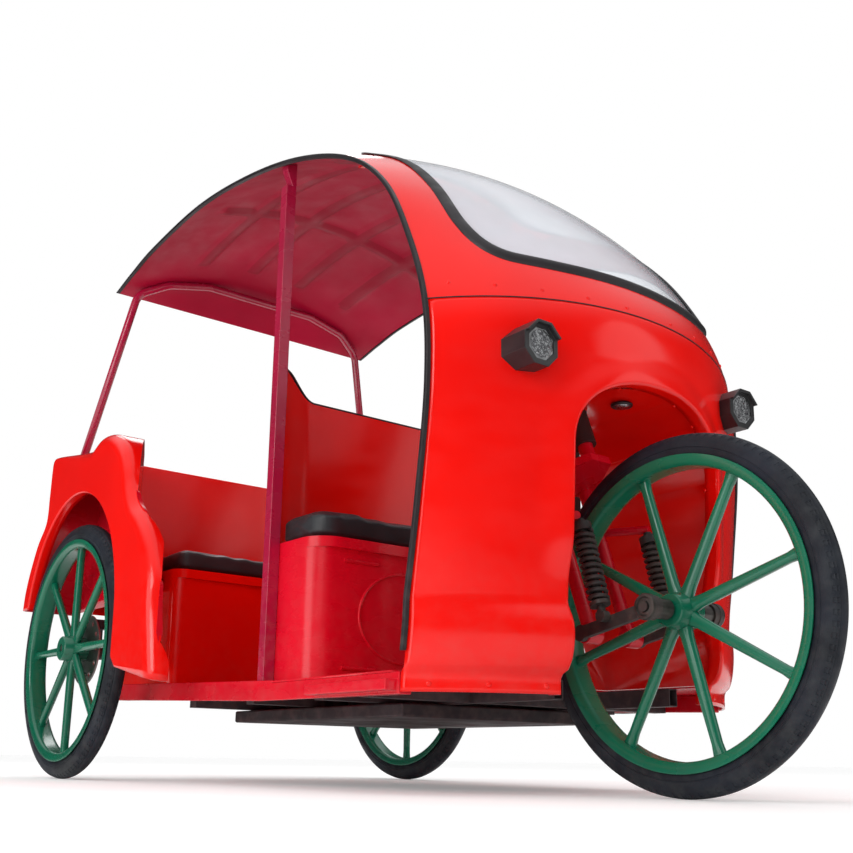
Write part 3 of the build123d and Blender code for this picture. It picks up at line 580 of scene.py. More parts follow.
def shellAt(y, z, offset=0.0):
    if z <= bumperRows[-1][1]:
        rows, low, high = bumperRows, 0.0, float(len(bumperRows) - 1)
    else:
        rows, low, high = upperRows, 0.0, lookUp["highest"]
    for step in range(lookUp["halvings"]):
        middle = (low + high) / 2
        if shellAcross(through(rows, middle), y, offset).z < z:
            low = middle
        else:
            high = middle
    return shellAcross(through(rows, (low + high) / 2), y, offset)


# Nose: one skin that runs from the rolled arch lip out to the sides and the seam

noseSetup = {
    "archHalf": 0.218, "archSpring": 0.676, "archTop": 0.827,
    "springShare": 0.45,  # of the way from crown to foot
    "fullness": 0.86, "low": 0.190, "shoulder": 0.960, "shoulderShare": 0.30,
    "sideShare": 0.62, "flare": 0.012, "flareReach": 0.075, "flareHeights": (0.40, 0.50),
    "lipDepth": 0.036, "roll": 0.009, "lipColumns": 2, "rollColumns": 8, "spread": 1.35,
    "rows": 230, "columns": 46, "wall": 0.005,
}


def archPoint(share):
    # from the foot of the arch at 1 to its crown at 0
    setup = noseSetup
    half, spring, start = setup["archHalf"], setup["archSpring"], setup["springShare"]
    if share > start:
        return half, spring - (spring - setup["low"]) * (share - start) / (1 - start)
    angle = share / start * pi / 2
    rise = (setup["archTop"] - spring) * max(0.0, cos(angle)) ** setup["fullness"]
    return half * sin(angle) ** setup["fullness"], spring + rise


def noseRimPoint(share):
    setup = noseSetup
    top, side = setup["shoulderShare"], setup["sideShare"]
    if share > side:
        return bodyHalf, archPoint(share)[1]
    if share > top:
        level = archPoint(side)[1]
        return bodyHalf, level + (setup["shoulder"] - level) * (side - share) / (side - top)
    y = bodyHalf * share / top
    return y, shellAcross(upperRows[3], y).z


def noseRule(u, v):
    setup = noseSetup
    signed = v * 2 - 1
    side = -1 if signed < 0 else 1
    share = abs(signed)
    archY, archZ = archPoint(share)
    rimY, rimZ = noseRimPoint(share)
    column = u * setup["columns"]
    span = hypot(rimY - archY, rimZ - archZ)
    roll, lip, rolled = setup["roll"], setup["lipColumns"], setup["rollColumns"]
    if column <= rolled:
        angle = max(0.0, (column - lip) / (rolled - lip)) * pi / 2
        away = roll * (1 - cos(angle))
        back = -roll * (1 - sin(angle)) if column > lip else -setup["lipDepth"] + (
            setup["lipDepth"] - roll) * column / lip
    else:
        part = (column - rolled) / (setup["columns"] - rolled)
        away = roll + (span - roll) * part ** setup["spread"]
        back = 0.0
    y = archY + (rimY - archY) * (away / span)
    z = archZ + (rimZ - archZ) * (away / span)
    point = shellAt(y, z)
    lift = setup["flare"] * (1 - smoothStep(away / setup["flareReach"]))
    lift = lift * stepBetween(z, *setup["flareHeights"])
    return Vector((point.x + lift + back, side * point.y, point.z))


def makeNose():
    setup = noseSetup
    shape = surfaceBy(noseRule, setup["columns"], setup["rows"])
    # the wall's inner face takes the darker red of painted shade
    finishPiece(shape, "nose_panel", [redPaint, innerRedPaintedShade], "body_red", sharp=50,
            replaced=("nose_shell",), wall=setup["wall"])


makeNose()
print("stage: nose")


# Windscreen outline, seen from the front, rounded off

screenSetup = {
    "middle": (0.0, 1.335),
    "corners": [(0.0, 1.072), (0.24, 1.073), (0.335, 1.092), (0.374, 1.17), (0.372, 1.30),
        (0.356, 1.44), (0.332, 1.53), (0.268, 1.583), (0.15, 1.597), (0.0, 1.600)],
    "steps": 96, "cutFrom": 0.93, "cutLength": 0.80, "lap": 0.004, "glassDepth": 0.001,
    "glassInner": 0.04, "glassRows": 26, "glassWall": 0.004, "sealSteps": 160,
    "sealSides": 12, "sealHalf": (0.014, 0.0066), "sealRise": 0.001,
}


def screenOutline(steps, grow=0.0):
    corners, half = screenSetup["corners"], steps // 2
    side = [through(corners, i * (len(corners) - 1) / half) for i in range(half + 1)]
    loop = side + [Vector((-p.x, p.y)) for p in reversed(side[1:-1])]
    middle = Vector(screenSetup["middle"])
    return [p + (p - middle).normalized() * grow for p in loop]


# Roof: outer skin, pressed lining under it, opening for the windscreen

roofSetup = {
    "rows": 150, "columns": 96, "thickness": 0.006, "ribDepth": 0.012, "ribSlope": 0.022,
    "ribPlaces": (-0.275, -0.090, 0.090, 0.275), "ribHalf": 0.010, "ribEnds": (-0.02, 1.12),
    "endSlope": 0.05, "ribReach": 0.38, "reachSlope": 0.03, "crossPlaces": (1.00, 0.38),
    "crossHalf": 0.012,
}


def ribHeight(x, y):
    setup = roofSetup
    slope, endSlope = setup["ribSlope"], setup["endSlope"]
    along = max(1 - smoothStep((abs(y - place) - setup["ribHalf"]) / slope)
            for place in setup["ribPlaces"])
    cross = max(1 - smoothStep((abs(x - at(place)) - setup["crossHalf"]) / slope)
            for place in setup["crossPlaces"])
    rear, front = setup["ribEnds"]
    ends = smoothStep((x - at(rear)) / endSlope) * (1 - smoothStep((x - at(front)) / endSlope))
    sides = 1 - smoothStep((abs(y) - setup["ribReach"]) / setup["reachSlope"])
    return setup["ribDepth"] * max(along, cross) * ends * sides


def roofRule(offset, ribbed):
    def rule(u, v):
        row = through(upperRows, seamRow + (lastRow - seamRow) * v)
        point = shellPoint(row, u * 2 - 1, offset)
        if ribbed:
            out = arcOf(row)[0]
            point = point - Vector((out.x, 0, out.y)) * ribHeight(point.x, point.y)
        return point
    return rule


def cutScreen(piece):
    # opening cut with a prism along the vehicle
    loop = screenOutline(screenSetup["steps"])
    shape = bmesh.new()
    bmesh.ops.create_circle(shape, cap_ends=True, radius=1.0, segments=len(loop))
    for vertex, corner in zip(list(shape.verts), loop):
        vertex.co = Vector((at(screenSetup["cutFrom"]), corner.x, corner.y))
    pushed = bmesh.ops.extrude_face_region(shape, geom=list(shape.faces))
    moved = [part for part in pushed["geom"] if isinstance(part, bmesh.types.BMVert)]
    bmesh.ops.translate(shape, verts=moved, vec=(screenSetup["cutLength"], 0, 0))
    bmesh.ops.recalc_face_normals(shape, faces=shape.faces)
    cutter = placed("screenCutter", meshFrom(shape, "screenCutter"))
    cut = piece.modifiers.new("opening", "BOOLEAN")
    cut.operation = "DIFFERENCE"
    cut.solver = "EXACT"
    cut.object = cutter
    bpy.context.view_layer.update()
    applyModifier(piece, cut)
    bpy.data.objects.remove(cutter)


def makeRoof():
    setup = roofSetup
    shape = surfaceBy(roofRule(0.0, False), setup["columns"], setup["rows"])
    outer = set(shape.faces)
    surfaceBy(roofRule(-setup["thickness"], True), setup["columns"], setup["rows"], into=shape)
    # lining faces take the darker red of painted shade
    for face in shape.faces:
        if face not in outer:
            middle = face.calc_center_median()
            ribbed = ribHeight(middle.x, middle.y) > setup["ribDepth"] * 0.5
            # rib faces take the darkest red: painted rib shadows
            face.material_index = 2 if ribbed else 1
    bmesh.ops.bridge_loops(shape, edges=openEdges(shape))
    piece = finishPiece(shape, "roof_panel", [redPaint, liningRedPaintedShade, ribRedPaintedShadow], "body_red", sharp=50,
            replaced=("roof_shell",))
    cutScreen(piece)


makeRoof()
print("stage: roof")


def makeScreen():
    setup = screenSetup
    loop = screenOutline(setup["steps"], setup["lap"])
    middle, inner = Vector(setup["middle"]), setup["glassInner"]

    def rule(u, v):
        corner = loop[round(u * len(loop)) % len(loop)]
        flat = middle + (corner - middle) * (inner + (1 - inner) * v)
        return shellAt(flat.x, flat.y, -setup["glassDepth"])

    shape = surfaceBy(rule, len(loop), setup["glassRows"])
    weld(shape)
    hole = [edge for edge in openEdges(shape)
            if hypot(edge.verts[0].co.y, edge.verts[0].co.z - middle.y) < 0.05]
    bmesh.ops.holes_fill(shape, edges=hole, sides=len(loop))
    finishPiece(shape, "windscreen_pane", screenGlass, "glass", replaced=("windscreen",),
            wall=setup["glassWall"])

    # rubber seal pressed over the edge of the opening, fuller on the outside
    line = [shellAt(p.x, p.y, setup["sealRise"])
            for p in screenOutline(setup["sealSteps"], setup["lap"])]
    count, sides = len(line), setup["sealSides"]
    wide, high = setup["sealHalf"]
    profile = roundProfile(wide, sides, high)

    def sealRule(u, v):
        index = round(v * count)
        here = line[index % count]
        way = (line[(index + 1) % count] - line[(index - 1) % count]).normalized()
        outward = (shellAt(here.y, here.z, 0.02) - shellAt(here.y, here.z, 0.0)).normalized()
        side = way.cross(outward).normalized()
        a, b = profile[round(u * sides) % sides]
        return here + side * a + outward * b

    finishPiece(surfaceBy(sealRule, sides, count), "windscreen_seal", sealRubber, "black_rubber")


makeScreen()
print("stage: windscreen")


# Rubber edging round the open sides, of one soft profile

trimSetup = {
    "width": 0.009, "outer": 0.0025, "inner": 0.0085, "gap": 0.0003, "roofSteps": 150,
    "doorSteps": 60, "footSteps": 16, "footRows": (3.0, 5.0),
}


def makeTrim(rows, side, first, last, steps):
    wide, outer, inner = trimSetup["width"], trimSetup["outer"], trimSetup["inner"]
    profile = [(0.0, -inner), (0.55, -inner), (0.9, -inner * 0.85), (1.0, -inner * 0.5),
            (1.0, outer * 0.2), (0.85, outer * 0.8), (0.5, outer), (0.0, outer)]
    sides = len(profile)

    def rule(u, v):
        row = through(rows, first + (last - first) * v)
        out = arcOf(row)[0]
        across, up = profile[round(u * sides) % sides]
        y = side * (bodyHalf + trimSetup["gap"] + across * wide)
        return Vector((at(row[0] + out.x * up), y, row[1] + out.y * up))

    shape = surfaceBy(rule, sides, steps)
    weld(shape)
    bmesh.ops.holes_fill(shape, edges=openEdges(shape), sides=sides)
    return shape


for side, word in ((-1, "right"), (1, "left")):
    upper = makeTrim(upperRows, side, seamRow, lastRow, trimSetup["roofSteps"])
    finishPiece(upper, f"roof_edging_{word}", sealRubber, "black_rubber", sharp=30,
            replaced=(f"roof_trim_{word}",))
    lower = makeTrim(upperRows, side, 0.0, seamRow, trimSetup["doorSteps"])
    mergeInto(lower, makeTrim(bumperRows, side, *trimSetup["footRows"], trimSetup["footSteps"]))
    finishPiece(lower, f"door_edging_{word}", sealRubber, "black_rubber", sharp=30,
            replaced=(f"door_trim_{word}",))
print("stage: edging")


# Rear quarters: soft mouldings over the wheels

quarterOutline = [
    (-0.3635, 0.500), (-0.352, 0.560), (-0.322, 0.628), (-0.272, 0.704), (-0.208, 0.766),
    (-0.204, 0.850), (-0.203, 0.930), (-0.196, 0.956), (-0.160, 0.959), (-0.060, 0.947),
    (0.050, 0.933), (0.112, 0.930), (0.180, 0.951), (0.240, 0.944), (0.300, 0.918),
    (0.345, 0.882), (0.373, 0.835), (0.394, 0.775), (0.430, 0.716), (0.484, 0.672),
    (0.530, 0.626), (0.564, 0.570), (0.594, 0.490), (0.604, 0.400), (0.640, 0.240),
]
quarterSetup = {
    "outer": 0.632, "inner": 0.4703, "archX": 0.031, "archZ": 0.416, "archA": 0.352,
    "archB": 0.387, "archStart": 12.5,
    "archEnd": 0.83,  # share of the rows, then the straight foot
    "footX": 0.383, "footLow": 0.285, "footOut": 0.03, "footOutFrom": 0.8, "lip": 0.030,
    "roll": 0.006, "round": 0.040, "crestRound": 0.012, "roundRows": (0.30, 0.42),
    "slantX": 0.310, "slantRate": 0.4514, "slantBack": 0.19, "slantHeights": (0.58, 0.75),
    "footIn": 0.035, "footHeights": (0.36, 0.28), "baseX": (-0.358, 0.388), "baseZ": 0.502,
    "baseEnd": 0.36, "rows": 170, "columns": 58,
    "turns": (2, 6, 24, 34, 44),  # columns where lip, roll, face, edge and rim end
    "wall": 0.005,
}


def quarterCurves(share):
    setup = quarterSetup
    rim = through(quarterOutline, share * (len(quarterOutline) - 1))
    x, z, end = setup["archX"], setup["archZ"], setup["archEnd"]
    if share < end:
        start = radians(setup["archStart"])
        angle = start + (pi - start) * share / end
        return Vector((x - setup["archA"] * cos(angle), z + setup["archB"] * sin(angle))), rim
    part = (share - end) / (1 - end)
    outFrom = setup["footOutFrom"]
    out = setup["footOut"] * max(0.0, part - outFrom) / (1 - outFrom)
    return Vector((setup["footX"] + out, z + (setup["footLow"] - z) * part)), rim


def quarterRule(side):
    setup = quarterSetup
    outer, roll, lip = setup["outer"], setup["roll"], setup["lip"]
    lipEnd, rollEnd, faceEnd, edgeEnd, rimEnd = setup["turns"]

    def innerY(x, z):
        start = setup["slantX"] - setup["slantBack"] * stepBetween(z, *setup["slantHeights"])
        foot = setup["footIn"] * stepBetween(z, *setup["footHeights"])
        return setup["inner"] + max(0.0, x - start) * setup["slantRate"] - foot

    def rule(u, v):
        arch, rim = quarterCurves(v)
        span = (rim - arch).length
        way = (rim - arch) / span
        column = u * setup["columns"]
        crest = setup["crestRound"]
        soft = crest + (setup["round"] - crest) * stepBetween(v, *setup["roundRows"])
        if column <= rollEnd:
            angle = max(0.0, (column - lipEnd) / (rollEnd - lipEnd)) * pi / 2
            flat = arch + way * roll * (1 - cos(angle))
            y = outer - roll * (1 - sin(angle)) if column > lipEnd else (
                outer - lip + (lip - roll) * column / lipEnd)
        elif column <= faceEnd:
            part = (column - rollEnd) / (faceEnd - rollEnd)
            flat = arch + way * (roll + (span - soft - roll) * part)
            y = outer
        elif column <= edgeEnd:
            angle = (column - faceEnd) / (edgeEnd - faceEnd) * pi / 2
            flat = rim - way * soft * (1 - sin(angle))
            y = outer - soft * (1 - cos(angle))
        elif column <= rimEnd:
            part = (column - edgeEnd) / (rimEnd - edgeEnd)
            flat = rim
            deep = innerY(rim.x, rim.y)
            y = max((outer - soft) * (1 - part) + deep * part, deep)
        else:
            part = (column - rimEnd) / (setup["columns"] - rimEnd)
            low, high = setup["baseX"]
            foot = Vector((max(low, min(high, rim.x)),
                    setup["baseZ"] if arch.x < setup["baseEnd"] else arch.y))
            flat = rim + (foot - rim) * part
            y = innerY(flat.x, flat.y)
        return Vector((at(flat.x), side * min(y, outer), flat.y))

    return rule


for side, word in ((-1, "right"), (1, "left")):
    # the wall's inner face takes the darker red of painted shade
    finishPiece(surfaceBy(quarterRule(side), quarterSetup["columns"], quarterSetup["rows"]),
            f"quarter_moulding_{word}", [redPaint, innerRedPaintedShade], "body_red", sharp=60,
            replaced=(f"rear_quarter_{word}",), wall=quarterSetup["wall"])
print("stage: quarters")


# Wheels and tyres

wheelSetup = {
    "lip": 0.312, "rimHalf": 0.028, "well": 0.2945, "inner": 0.289, "steps": 144,
    "hubRadius": 0.034, "hubHalf": 0.036, "hubSteps": 48, "bore": 0.012, "spokes": 8,
    "spokeRoot": 0.0135, "spokeTip": 0.0095, "spokeHalfDepth": 0.0105, "rootFlare": 0.25,
    "rootReach": 0.08, "tipFlare": 0.45, "tipReach": 0.07,
    "roundness": (0.7, 0.8),  # of the spoke's section, across and in depth
}


def spokeShape(angle, centre):
    setup = wheelSetup
    start, end = setup["hubRadius"] - 0.004, setup["inner"] + 0.002
    shape = bmesh.new()
    bmesh.ops.create_grid(shape, x_segments=12, y_segments=10, size=0.5)
    for vertex in shape.verts:
        along = vertex.co.y + 0.5
        turn = (vertex.co.x + 0.5) * 2 * pi
        root = 1 - smoothStep(along / setup["rootReach"])
        tip = smoothStep((along - 1 + setup["tipReach"]) / setup["tipReach"])
        half = setup["spokeRoot"] + (setup["spokeTip"] - setup["spokeRoot"]) * along
        half = half * (1 + setup["rootFlare"] * root + setup["tipFlare"] * tip)
        across, depth = [(1 if way > 0 else -1) * abs(way) ** power for way, power in
                zip((cos(turn), sin(turn)), setup["roundness"])]
        vertex.co = Vector((start + (end - start) * along, setup["spokeHalfDepth"] * depth,
                half * across))
    bmesh.ops.rotate(shape, verts=shape.verts, cent=(0, 0, 0),
            matrix=Matrix.Rotation(angle, 3, "Y"))
    shift(shape, centre)
    weld(shape)
    return shape


def makeWheel(name, node, centre, turn):
    setup = wheelSetup
    half, lip, inner = setup["rimHalf"], setup["lip"], setup["inner"]
    outside = [(lip, half), (lip + 0.0005, half - 0.002), (lip - 0.001, half - 0.0042),
            (lip - 0.006, half - 0.0046), (setup["well"], half - 0.009)]
    inside = [(inner, half - 0.014), (inner + 0.001, half - 0.006),
            (inner + 0.006, half - 0.0012), (lip - 0.004, half)]
    shape = lathe(outside + mirrored(outside) + mirrored(inside) + inside, setup["steps"], centre)
    hub, deep, bore = setup["hubRadius"], setup["hubHalf"], setup["bore"]
    hubProfile = [(bore, deep), (bore + 0.004, deep), (bore + 0.005, deep - 0.002),
            (hub - 0.012, deep - 0.002), (hub - 0.010, deep), (hub - 0.003, deep),
            (hub, deep - 0.003), (hub, deep - 0.016), (hub + 0.003, deep - 0.020),
            (hub + 0.003, -deep + 0.020), (hub, -deep + 0.016), (hub, -deep + 0.003),
            (hub - 0.003, -deep), (bore, -deep)]
    lathe(hubProfile, setup["hubSteps"], centre, into=shape)
    for index in range(setup["spokes"]):
        mergeInto(shape, spokeShape(radians(turn) + index * 2 * pi / setup["spokes"], centre))
    finishPiece(shape, name, greenPaint, "wheel_green", body=node, sharp=45, replaced=(node,))


# Tread: a plain middle band, notched shoulders and two thin lines on the wall

tyreSetup = {
    "steps": 216, "groove": 0.0016, "notchSpan": (0.3465, 0.3548), "notchAside": 0.0115,
    "notchEdge": 0.0009,
}
tyreProfile = [
    (0.2945, 0.0168), (0.3115, 0.0218), (0.318, 0.0240), (0.3235, 0.0248), (0.3245, 0.0238),
    (0.326, 0.0238), (0.327, 0.0250), (0.335, 0.0250), (0.3415, 0.0236), (0.3465, 0.0214),
    (0.3520, 0.0172), (0.3549, 0.0128), (0.3552, 0.0118), (0.3543, 0.0108), (0.3558, 0.0098),
    (0.3576, 0.0050), (0.3580, 0.0006),
]


def makeTyre(name, node, body, centre):
    setup = tyreSetup
    shape = lathe(tyreProfile + mirrored(tyreProfile), setup["steps"])
    shape.normal_update()
    near, far = setup["notchSpan"]
    notches = []
    for face in shape.faces:
        middle = face.calc_center_median()
        step = round(atan2(middle.z, middle.x) / (2 * pi) * setup["steps"] - 0.5)
        if near < hypot(middle.x, middle.z) < far and abs(middle.y) > setup["notchAside"]:
            if step % 2 == 0:
                notches.append(face)
    bmesh.ops.inset_individual(shape, faces=notches, thickness=setup["notchEdge"], depth=0.0,
            use_even_offset=True)
    for face in notches:
        for vertex in face.verts:
            flat = Vector((vertex.co.x, 0, vertex.co.z))
            vertex.co -= flat.normalized() * setup["groove"]
    shift(shape, centre)
    finishPiece(shape, name, tyreRubber, "tyre", body=body, sharp=38, replaced=(node,))


# Word, node and body, place, side, and degrees that the spokes are turned by

wheelPlaces = [
    ("front", "front_wheel", frontWheelPlace, 0.0, -16.25),
    ("rear_right", "rear_wheel_right", rearWheelPlace, -halfTrack, 0.0),
    ("rear_left", "rear_wheel_left", rearWheelPlace, halfTrack, 0.0),
]
for word, wheelNode, place, side, turn in wheelPlaces:
    centre = (at(place), side, wheelRadius)
    makeWheel(f"{word}_rim_and_spokes", wheelNode, centre, turn)
    makeTyre(f"{word}_tread_tyre", wheelNode.replace("wheel", "tyre"), wheelNode, centre)
print("stage: wheels")


# Coil springs round their dampers, with a cap above each and an eye below

springSetup = {
    "offset": 0.104, "top": (1.542, 0.556), "low": (1.600, 0.350), "turns": 11.5,
    "steps": 190, "coil": 0.0180, "wire": 0.0048, "coilFrom": 0.030, "coilShort": 0.058,
    "damper": [(0.0, 0.030, 0.0085), (0.022, 0.030, 0.0215)],  # from, to, radius
    "shaft": (0.030, 0.026, 0.0105), "cap": (0.028, 0.010, 0.0205), "capNeck": 0.009,
    "eyeHalf": 0.0095, "eye": 0.012,
}


def makeSprings():
    setup = springSetup
    shape = bmesh.new()
    leftward = Vector((0, 1, 0))
    for side in (-1, 1):
        low, top = [Vector((at(x), side * setup["offset"], z))
                for x, z in (setup["low"], setup["top"])]
        way = (top - low).normalized()
        length = (top - low).length
        sideways = way.cross(leftward).normalized()
        line = []
        for index in range(setup["steps"] + 1):
            part = index / setup["steps"]
            angle = part * setup["turns"] * 2 * pi
            height = setup["coilFrom"] + (length - setup["coilShort"]) * part
            line.append(low + way * height + sideways * setup["coil"] * cos(angle)
                    + leftward * setup["coil"] * sin(angle))
        sweepAlong(line, roundProfile(setup["wire"], 8), upward=way, into=shape)
        shaftFrom, shaftShort, shaftRadius = setup["shaft"]
        capLow, capHigh, capRadius = setup["cap"]
        for start, end, radius in (*setup["damper"], (shaftFrom, length - shaftShort, shaftRadius),
                (length - capLow, length - capHigh, capRadius),
                (length - capHigh, length, setup["capNeck"])):
            sweepAlong([low + way * start, low + way * end], roundProfile(radius, 20),
                    upward=sideways, into=shape)
        eye = leftward * setup["eyeHalf"]
        sweepAlong([low - eye, low + eye], roundProfile(setup["eye"], 20), into=shape)
    finishPiece(shape, "coil_springs", blackMetal, "black_metal", body="steering", sharp=35,
            replaced=("front_springs",))


makeSprings()
print("stage: springs")


# Lamps: facets and a bright reflector behind a clear lens, between brow and pod

lampSetup = {"place": (1.6541, 0.316, 0.858), "radius": 0.0315 * 0.93, "depth": 0.0016}


def makeLampInsides():
    x, y, z = lampSetup["place"]
    radius = lampSetup["radius"]
    shape = bmesh.new()
    for side in (-1, 1):
        disc = bmesh.new()
        bmesh.ops.create_icosphere(disc, subdivisions=3, radius=1.0)
        bmesh.ops.scale(disc, vec=(lampSetup["depth"], radius, radius), verts=disc.verts)
        shift(disc, (at(x), side * y, z))
        mergeInto(shape, disc)
    finishPiece(shape, "lamp_facets", reflector, "lens", sharp=12)


# Ringed caps on the outer ends of the front axle

capSetup = {"radius": 0.026, "depth": 0.0045, "nut": 0.0105, "gap": 0.0002}


def makeAxleCaps():
    shape = bmesh.new()
    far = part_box("link_arms")[1].y + capSetup["gap"]
    radius, depth, nut = capSetup["radius"], capSetup["depth"], capSetup["nut"]
    for side in (-1, 1):
        profile = [(reach, side * depth * rise) for reach, rise in (
            (0.0, 1.5), (nut, 1.5), (nut + 0.001, 0.4), (radius * 0.66, 0.3),
            (radius * 0.74, 1.0), (radius * 0.94, 0.9), (radius, 0.3), (radius, 0.0), (0.0, 0.0))]
        lathe(profile, 40, (at(frontWheelPlace), side * far, wheelRadius), into=shape)
    finishPiece(shape, "axle_caps", axleSteel, "black_metal", body="steering", sharp=30)


# Small round lamp inside the front arch

archLampSetup = {"place": (1.545, 0.030, 0.8362), "radius": 0.021, "flat": 0.42, "rim": 0.0036}


def makeArchLamp():
    setup = archLampSetup
    x, y, z = setup["place"]
    radius = setup["radius"]
    shape = dome(28, 14, radius * 0.86, setup["flat"])
    shift(shape, (at(x), y, z - 0.004))
    for face in shape.faces:
        face.material_index = 1
    rim = [Vector((at(x) + a, y + b, z - 0.003)) for a, b in roundProfile(radius, 40)]
    sweepAlong(rim, roundProfile(setup["rim"], 10), closed=True, into=shape)
    finishPiece(shape, "arch_lamp", [lampPlastic, reflector], "lens", sharp=40)


makeLampInsides()
makeAxleCaps()
makeArchLamp()
print("stage: caps and arch lamp")


# Small round-headed bolts

boltSetup = {
    "flat": 0.45,
    "rows": [  # height, radius, places on one side
        (0.998, 0.0045, (0.07, 0.17, 0.27, 0.36, 0.44)),
        (0.205, 0.0055, (0.25, 0.35, 0.44)),
    ],
    "archShares": (0.10, 0.22, 0.33, 0.47, 0.62, 0.78), "archRadius": 0.0042,
    "archBack": 0.024, "archSink": 0.0006, "archAim": 0.70,
}


def boltShape(place, way, radius, into):
    shape = dome(12, 6, radius, boltSetup["flat"])
    turn = Vector((0, 0, 1)).rotation_difference(Vector(way)).to_matrix()
    bmesh.ops.transform(shape, matrix=turn.to_4x4(), verts=shape.verts)
    shift(shape, place)
    mergeInto(into, shape)


def makeSeamBolts():
    setup = boltSetup
    shape = bmesh.new()
    for z, radius, places in setup["rows"]:
        for y in [-place for place in reversed(places)] + list(places):
            place = shellAt(y, z)
            boltShape(place, shellAt(y, z, 0.02) - place, radius, shape)
    sink = setup["archSink"]
    for share in setup["archShares"]:
        y, z = archPoint(share)
        for side in (-1, 1):
            place = Vector((shellAt(y, z).x - setup["archBack"], side * (y - sink), z - sink))
            way = (0, -side, 0) if share > noseSetup["springShare"] else (
                0, -side * y, setup["archAim"] - z)
            boltShape(place, way, setup["archRadius"], shape)
    finishPiece(shape, "panel_bolts", redPaint, "body_red", sharp=60)


# Thin dark joint between nose and roof

seamSetup = {"steps": 60, "half": 0.0011, "top": 0.0008, "low": -0.0006, "lift": 0.0003}


def makeSeam():
    steps, half, top, low = [seamSetup[key] for key in ("steps", "half", "top", "low")]
    line = [shellPoint(upperRows[3], share / steps * 2 - 1, seamSetup["lift"])
            for share in range(steps + 1)]
    shape = sweepAlong(line, [(half, top), (-half, top), (-half, low), (half, low)],
            upward=(1, 0, 0.2))
    finishPiece(shape, "panel_joint", sealRubber, "black_rubber")


makeSeamBolts()
makeSeam()
print("stage: bolts and seam")


# Driver's backrest edging, and the plain oval and bars pressed into the seat base

backSetup = {
    "x": 0.745, "front": 0.007, "bendY": 0.270, "radius": 0.172, "middleTop": 0.976,
    "wingTop": 1.034, "wingY": (0.272, 0.372), "cornerY": (0.396, 0.460),
    "cornerDrop": 0.094, "half": 0.424, "steps": 90, "edging": (0.0085, 0.0042),
    "marksX": 1.0505,
    "oval": (-0.190, 0.385, 0.127, 0.105, 0.0032),  # y, z, halves, bead
    "bars": (-0.362, -0.268, 0.0045),  # from y, to y, bead
    "barHeights": (0.505, 0.262),
}


def backPlace(y):
    setup = backSetup
    away = abs(y) - setup["bendY"]
    x = setup["x"]
    if away > 0:
        x = x + setup["radius"] - sqrt(max(0.0, setup["radius"] ** 2 - away ** 2))
    wing = stepBetween(abs(y), *setup["wingY"])
    z = setup["middleTop"] + (setup["wingTop"] - setup["middleTop"]) * wing
    start, end = setup["cornerY"]
    if abs(y) > start:
        bent = (abs(y) - start) / (end - start)
        z = setup["wingTop"] - setup["cornerDrop"] * (1 - sqrt(max(0.0, 1 - bent ** 2)))
    return Vector((at(x - setup["front"]), y, z))


def makeBackEdging():
    half, steps = backSetup["half"], backSetup["steps"]
    wide, high = backSetup["edging"]
    line = [backPlace(-half + 2 * half * i / steps) for i in range(steps + 1)]
    shape = sweepAlong(line, roundProfile(wide, 10, high))
    finishPiece(shape, "backrest_edging", sealRubber, "black_rubber")


def makePressedMarks():
    setup = backSetup
    shape = bmesh.new()
    x = at(setup["marksX"])
    y, z, wide, high, bead = setup["oval"]
    ring = [Vector((x, y + a, z + b)) for a, b in roundProfile(wide, 72, high)]
    sweepAlong(ring, roundProfile(bead, 8), closed=True, upward=(1, 0, 0), into=shape)
    start, end, bead = setup["bars"]
    for z in setup["barHeights"]:
        sweepAlong([Vector((x, start, z)), Vector((x, end, z))], roundProfile(bead, 8), into=shape)
    # marks in the darker red of painted shade
    finishPiece(shape, "pressed_marks", innerRedPaintedShade, "body_red")


makeBackEdging()
makePressedMarks()


# Seat cushions: a shape a little smaller than its place, blown up by cloth

cushionSetup = {
    "driver_cushion": {"pressure": 4.0, "cap": 0.012, "fill": 0.7},
    "bench_cushion": {"pressure": 4.0, "cap": 0.010, "fill": 0.6},
}
paddingSetup = {
    "shrink": 0.010, "voxel": 0.006, "clothQuality": 4, "clothFrames": 20,
    "foldDepth": 0.0045, "foldReach": 0.09, "foldFade": 0.08,
    "foldWaves": (61.0, 2.0, 23.0), "sagDepth": 0.007, "sagPlace": 0.20, "sagHalf": 0.05,
    "sagFade": 0.12, "backFade": 0.05, "topShares": (0.5, 0.9),
}


def swell(piece, pressure):
    frames = paddingSetup["clothFrames"]
    cloth = piece.modifiers.new("swell", "CLOTH")
    cloth.settings.use_pressure = True
    cloth.settings.uniform_pressure_force = pressure
    cloth.settings.effector_weights.gravity = 0.0
    cloth.settings.quality = paddingSetup["clothQuality"]
    cloth.point_cache.frame_start = 1
    cloth.point_cache.frame_end = frames + 2
    scene = bpy.context.scene
    for number in range(1, frames + 1):
        scene.frame_set(number)
    applyModifier(piece, cloth)
    scene.frame_set(1)


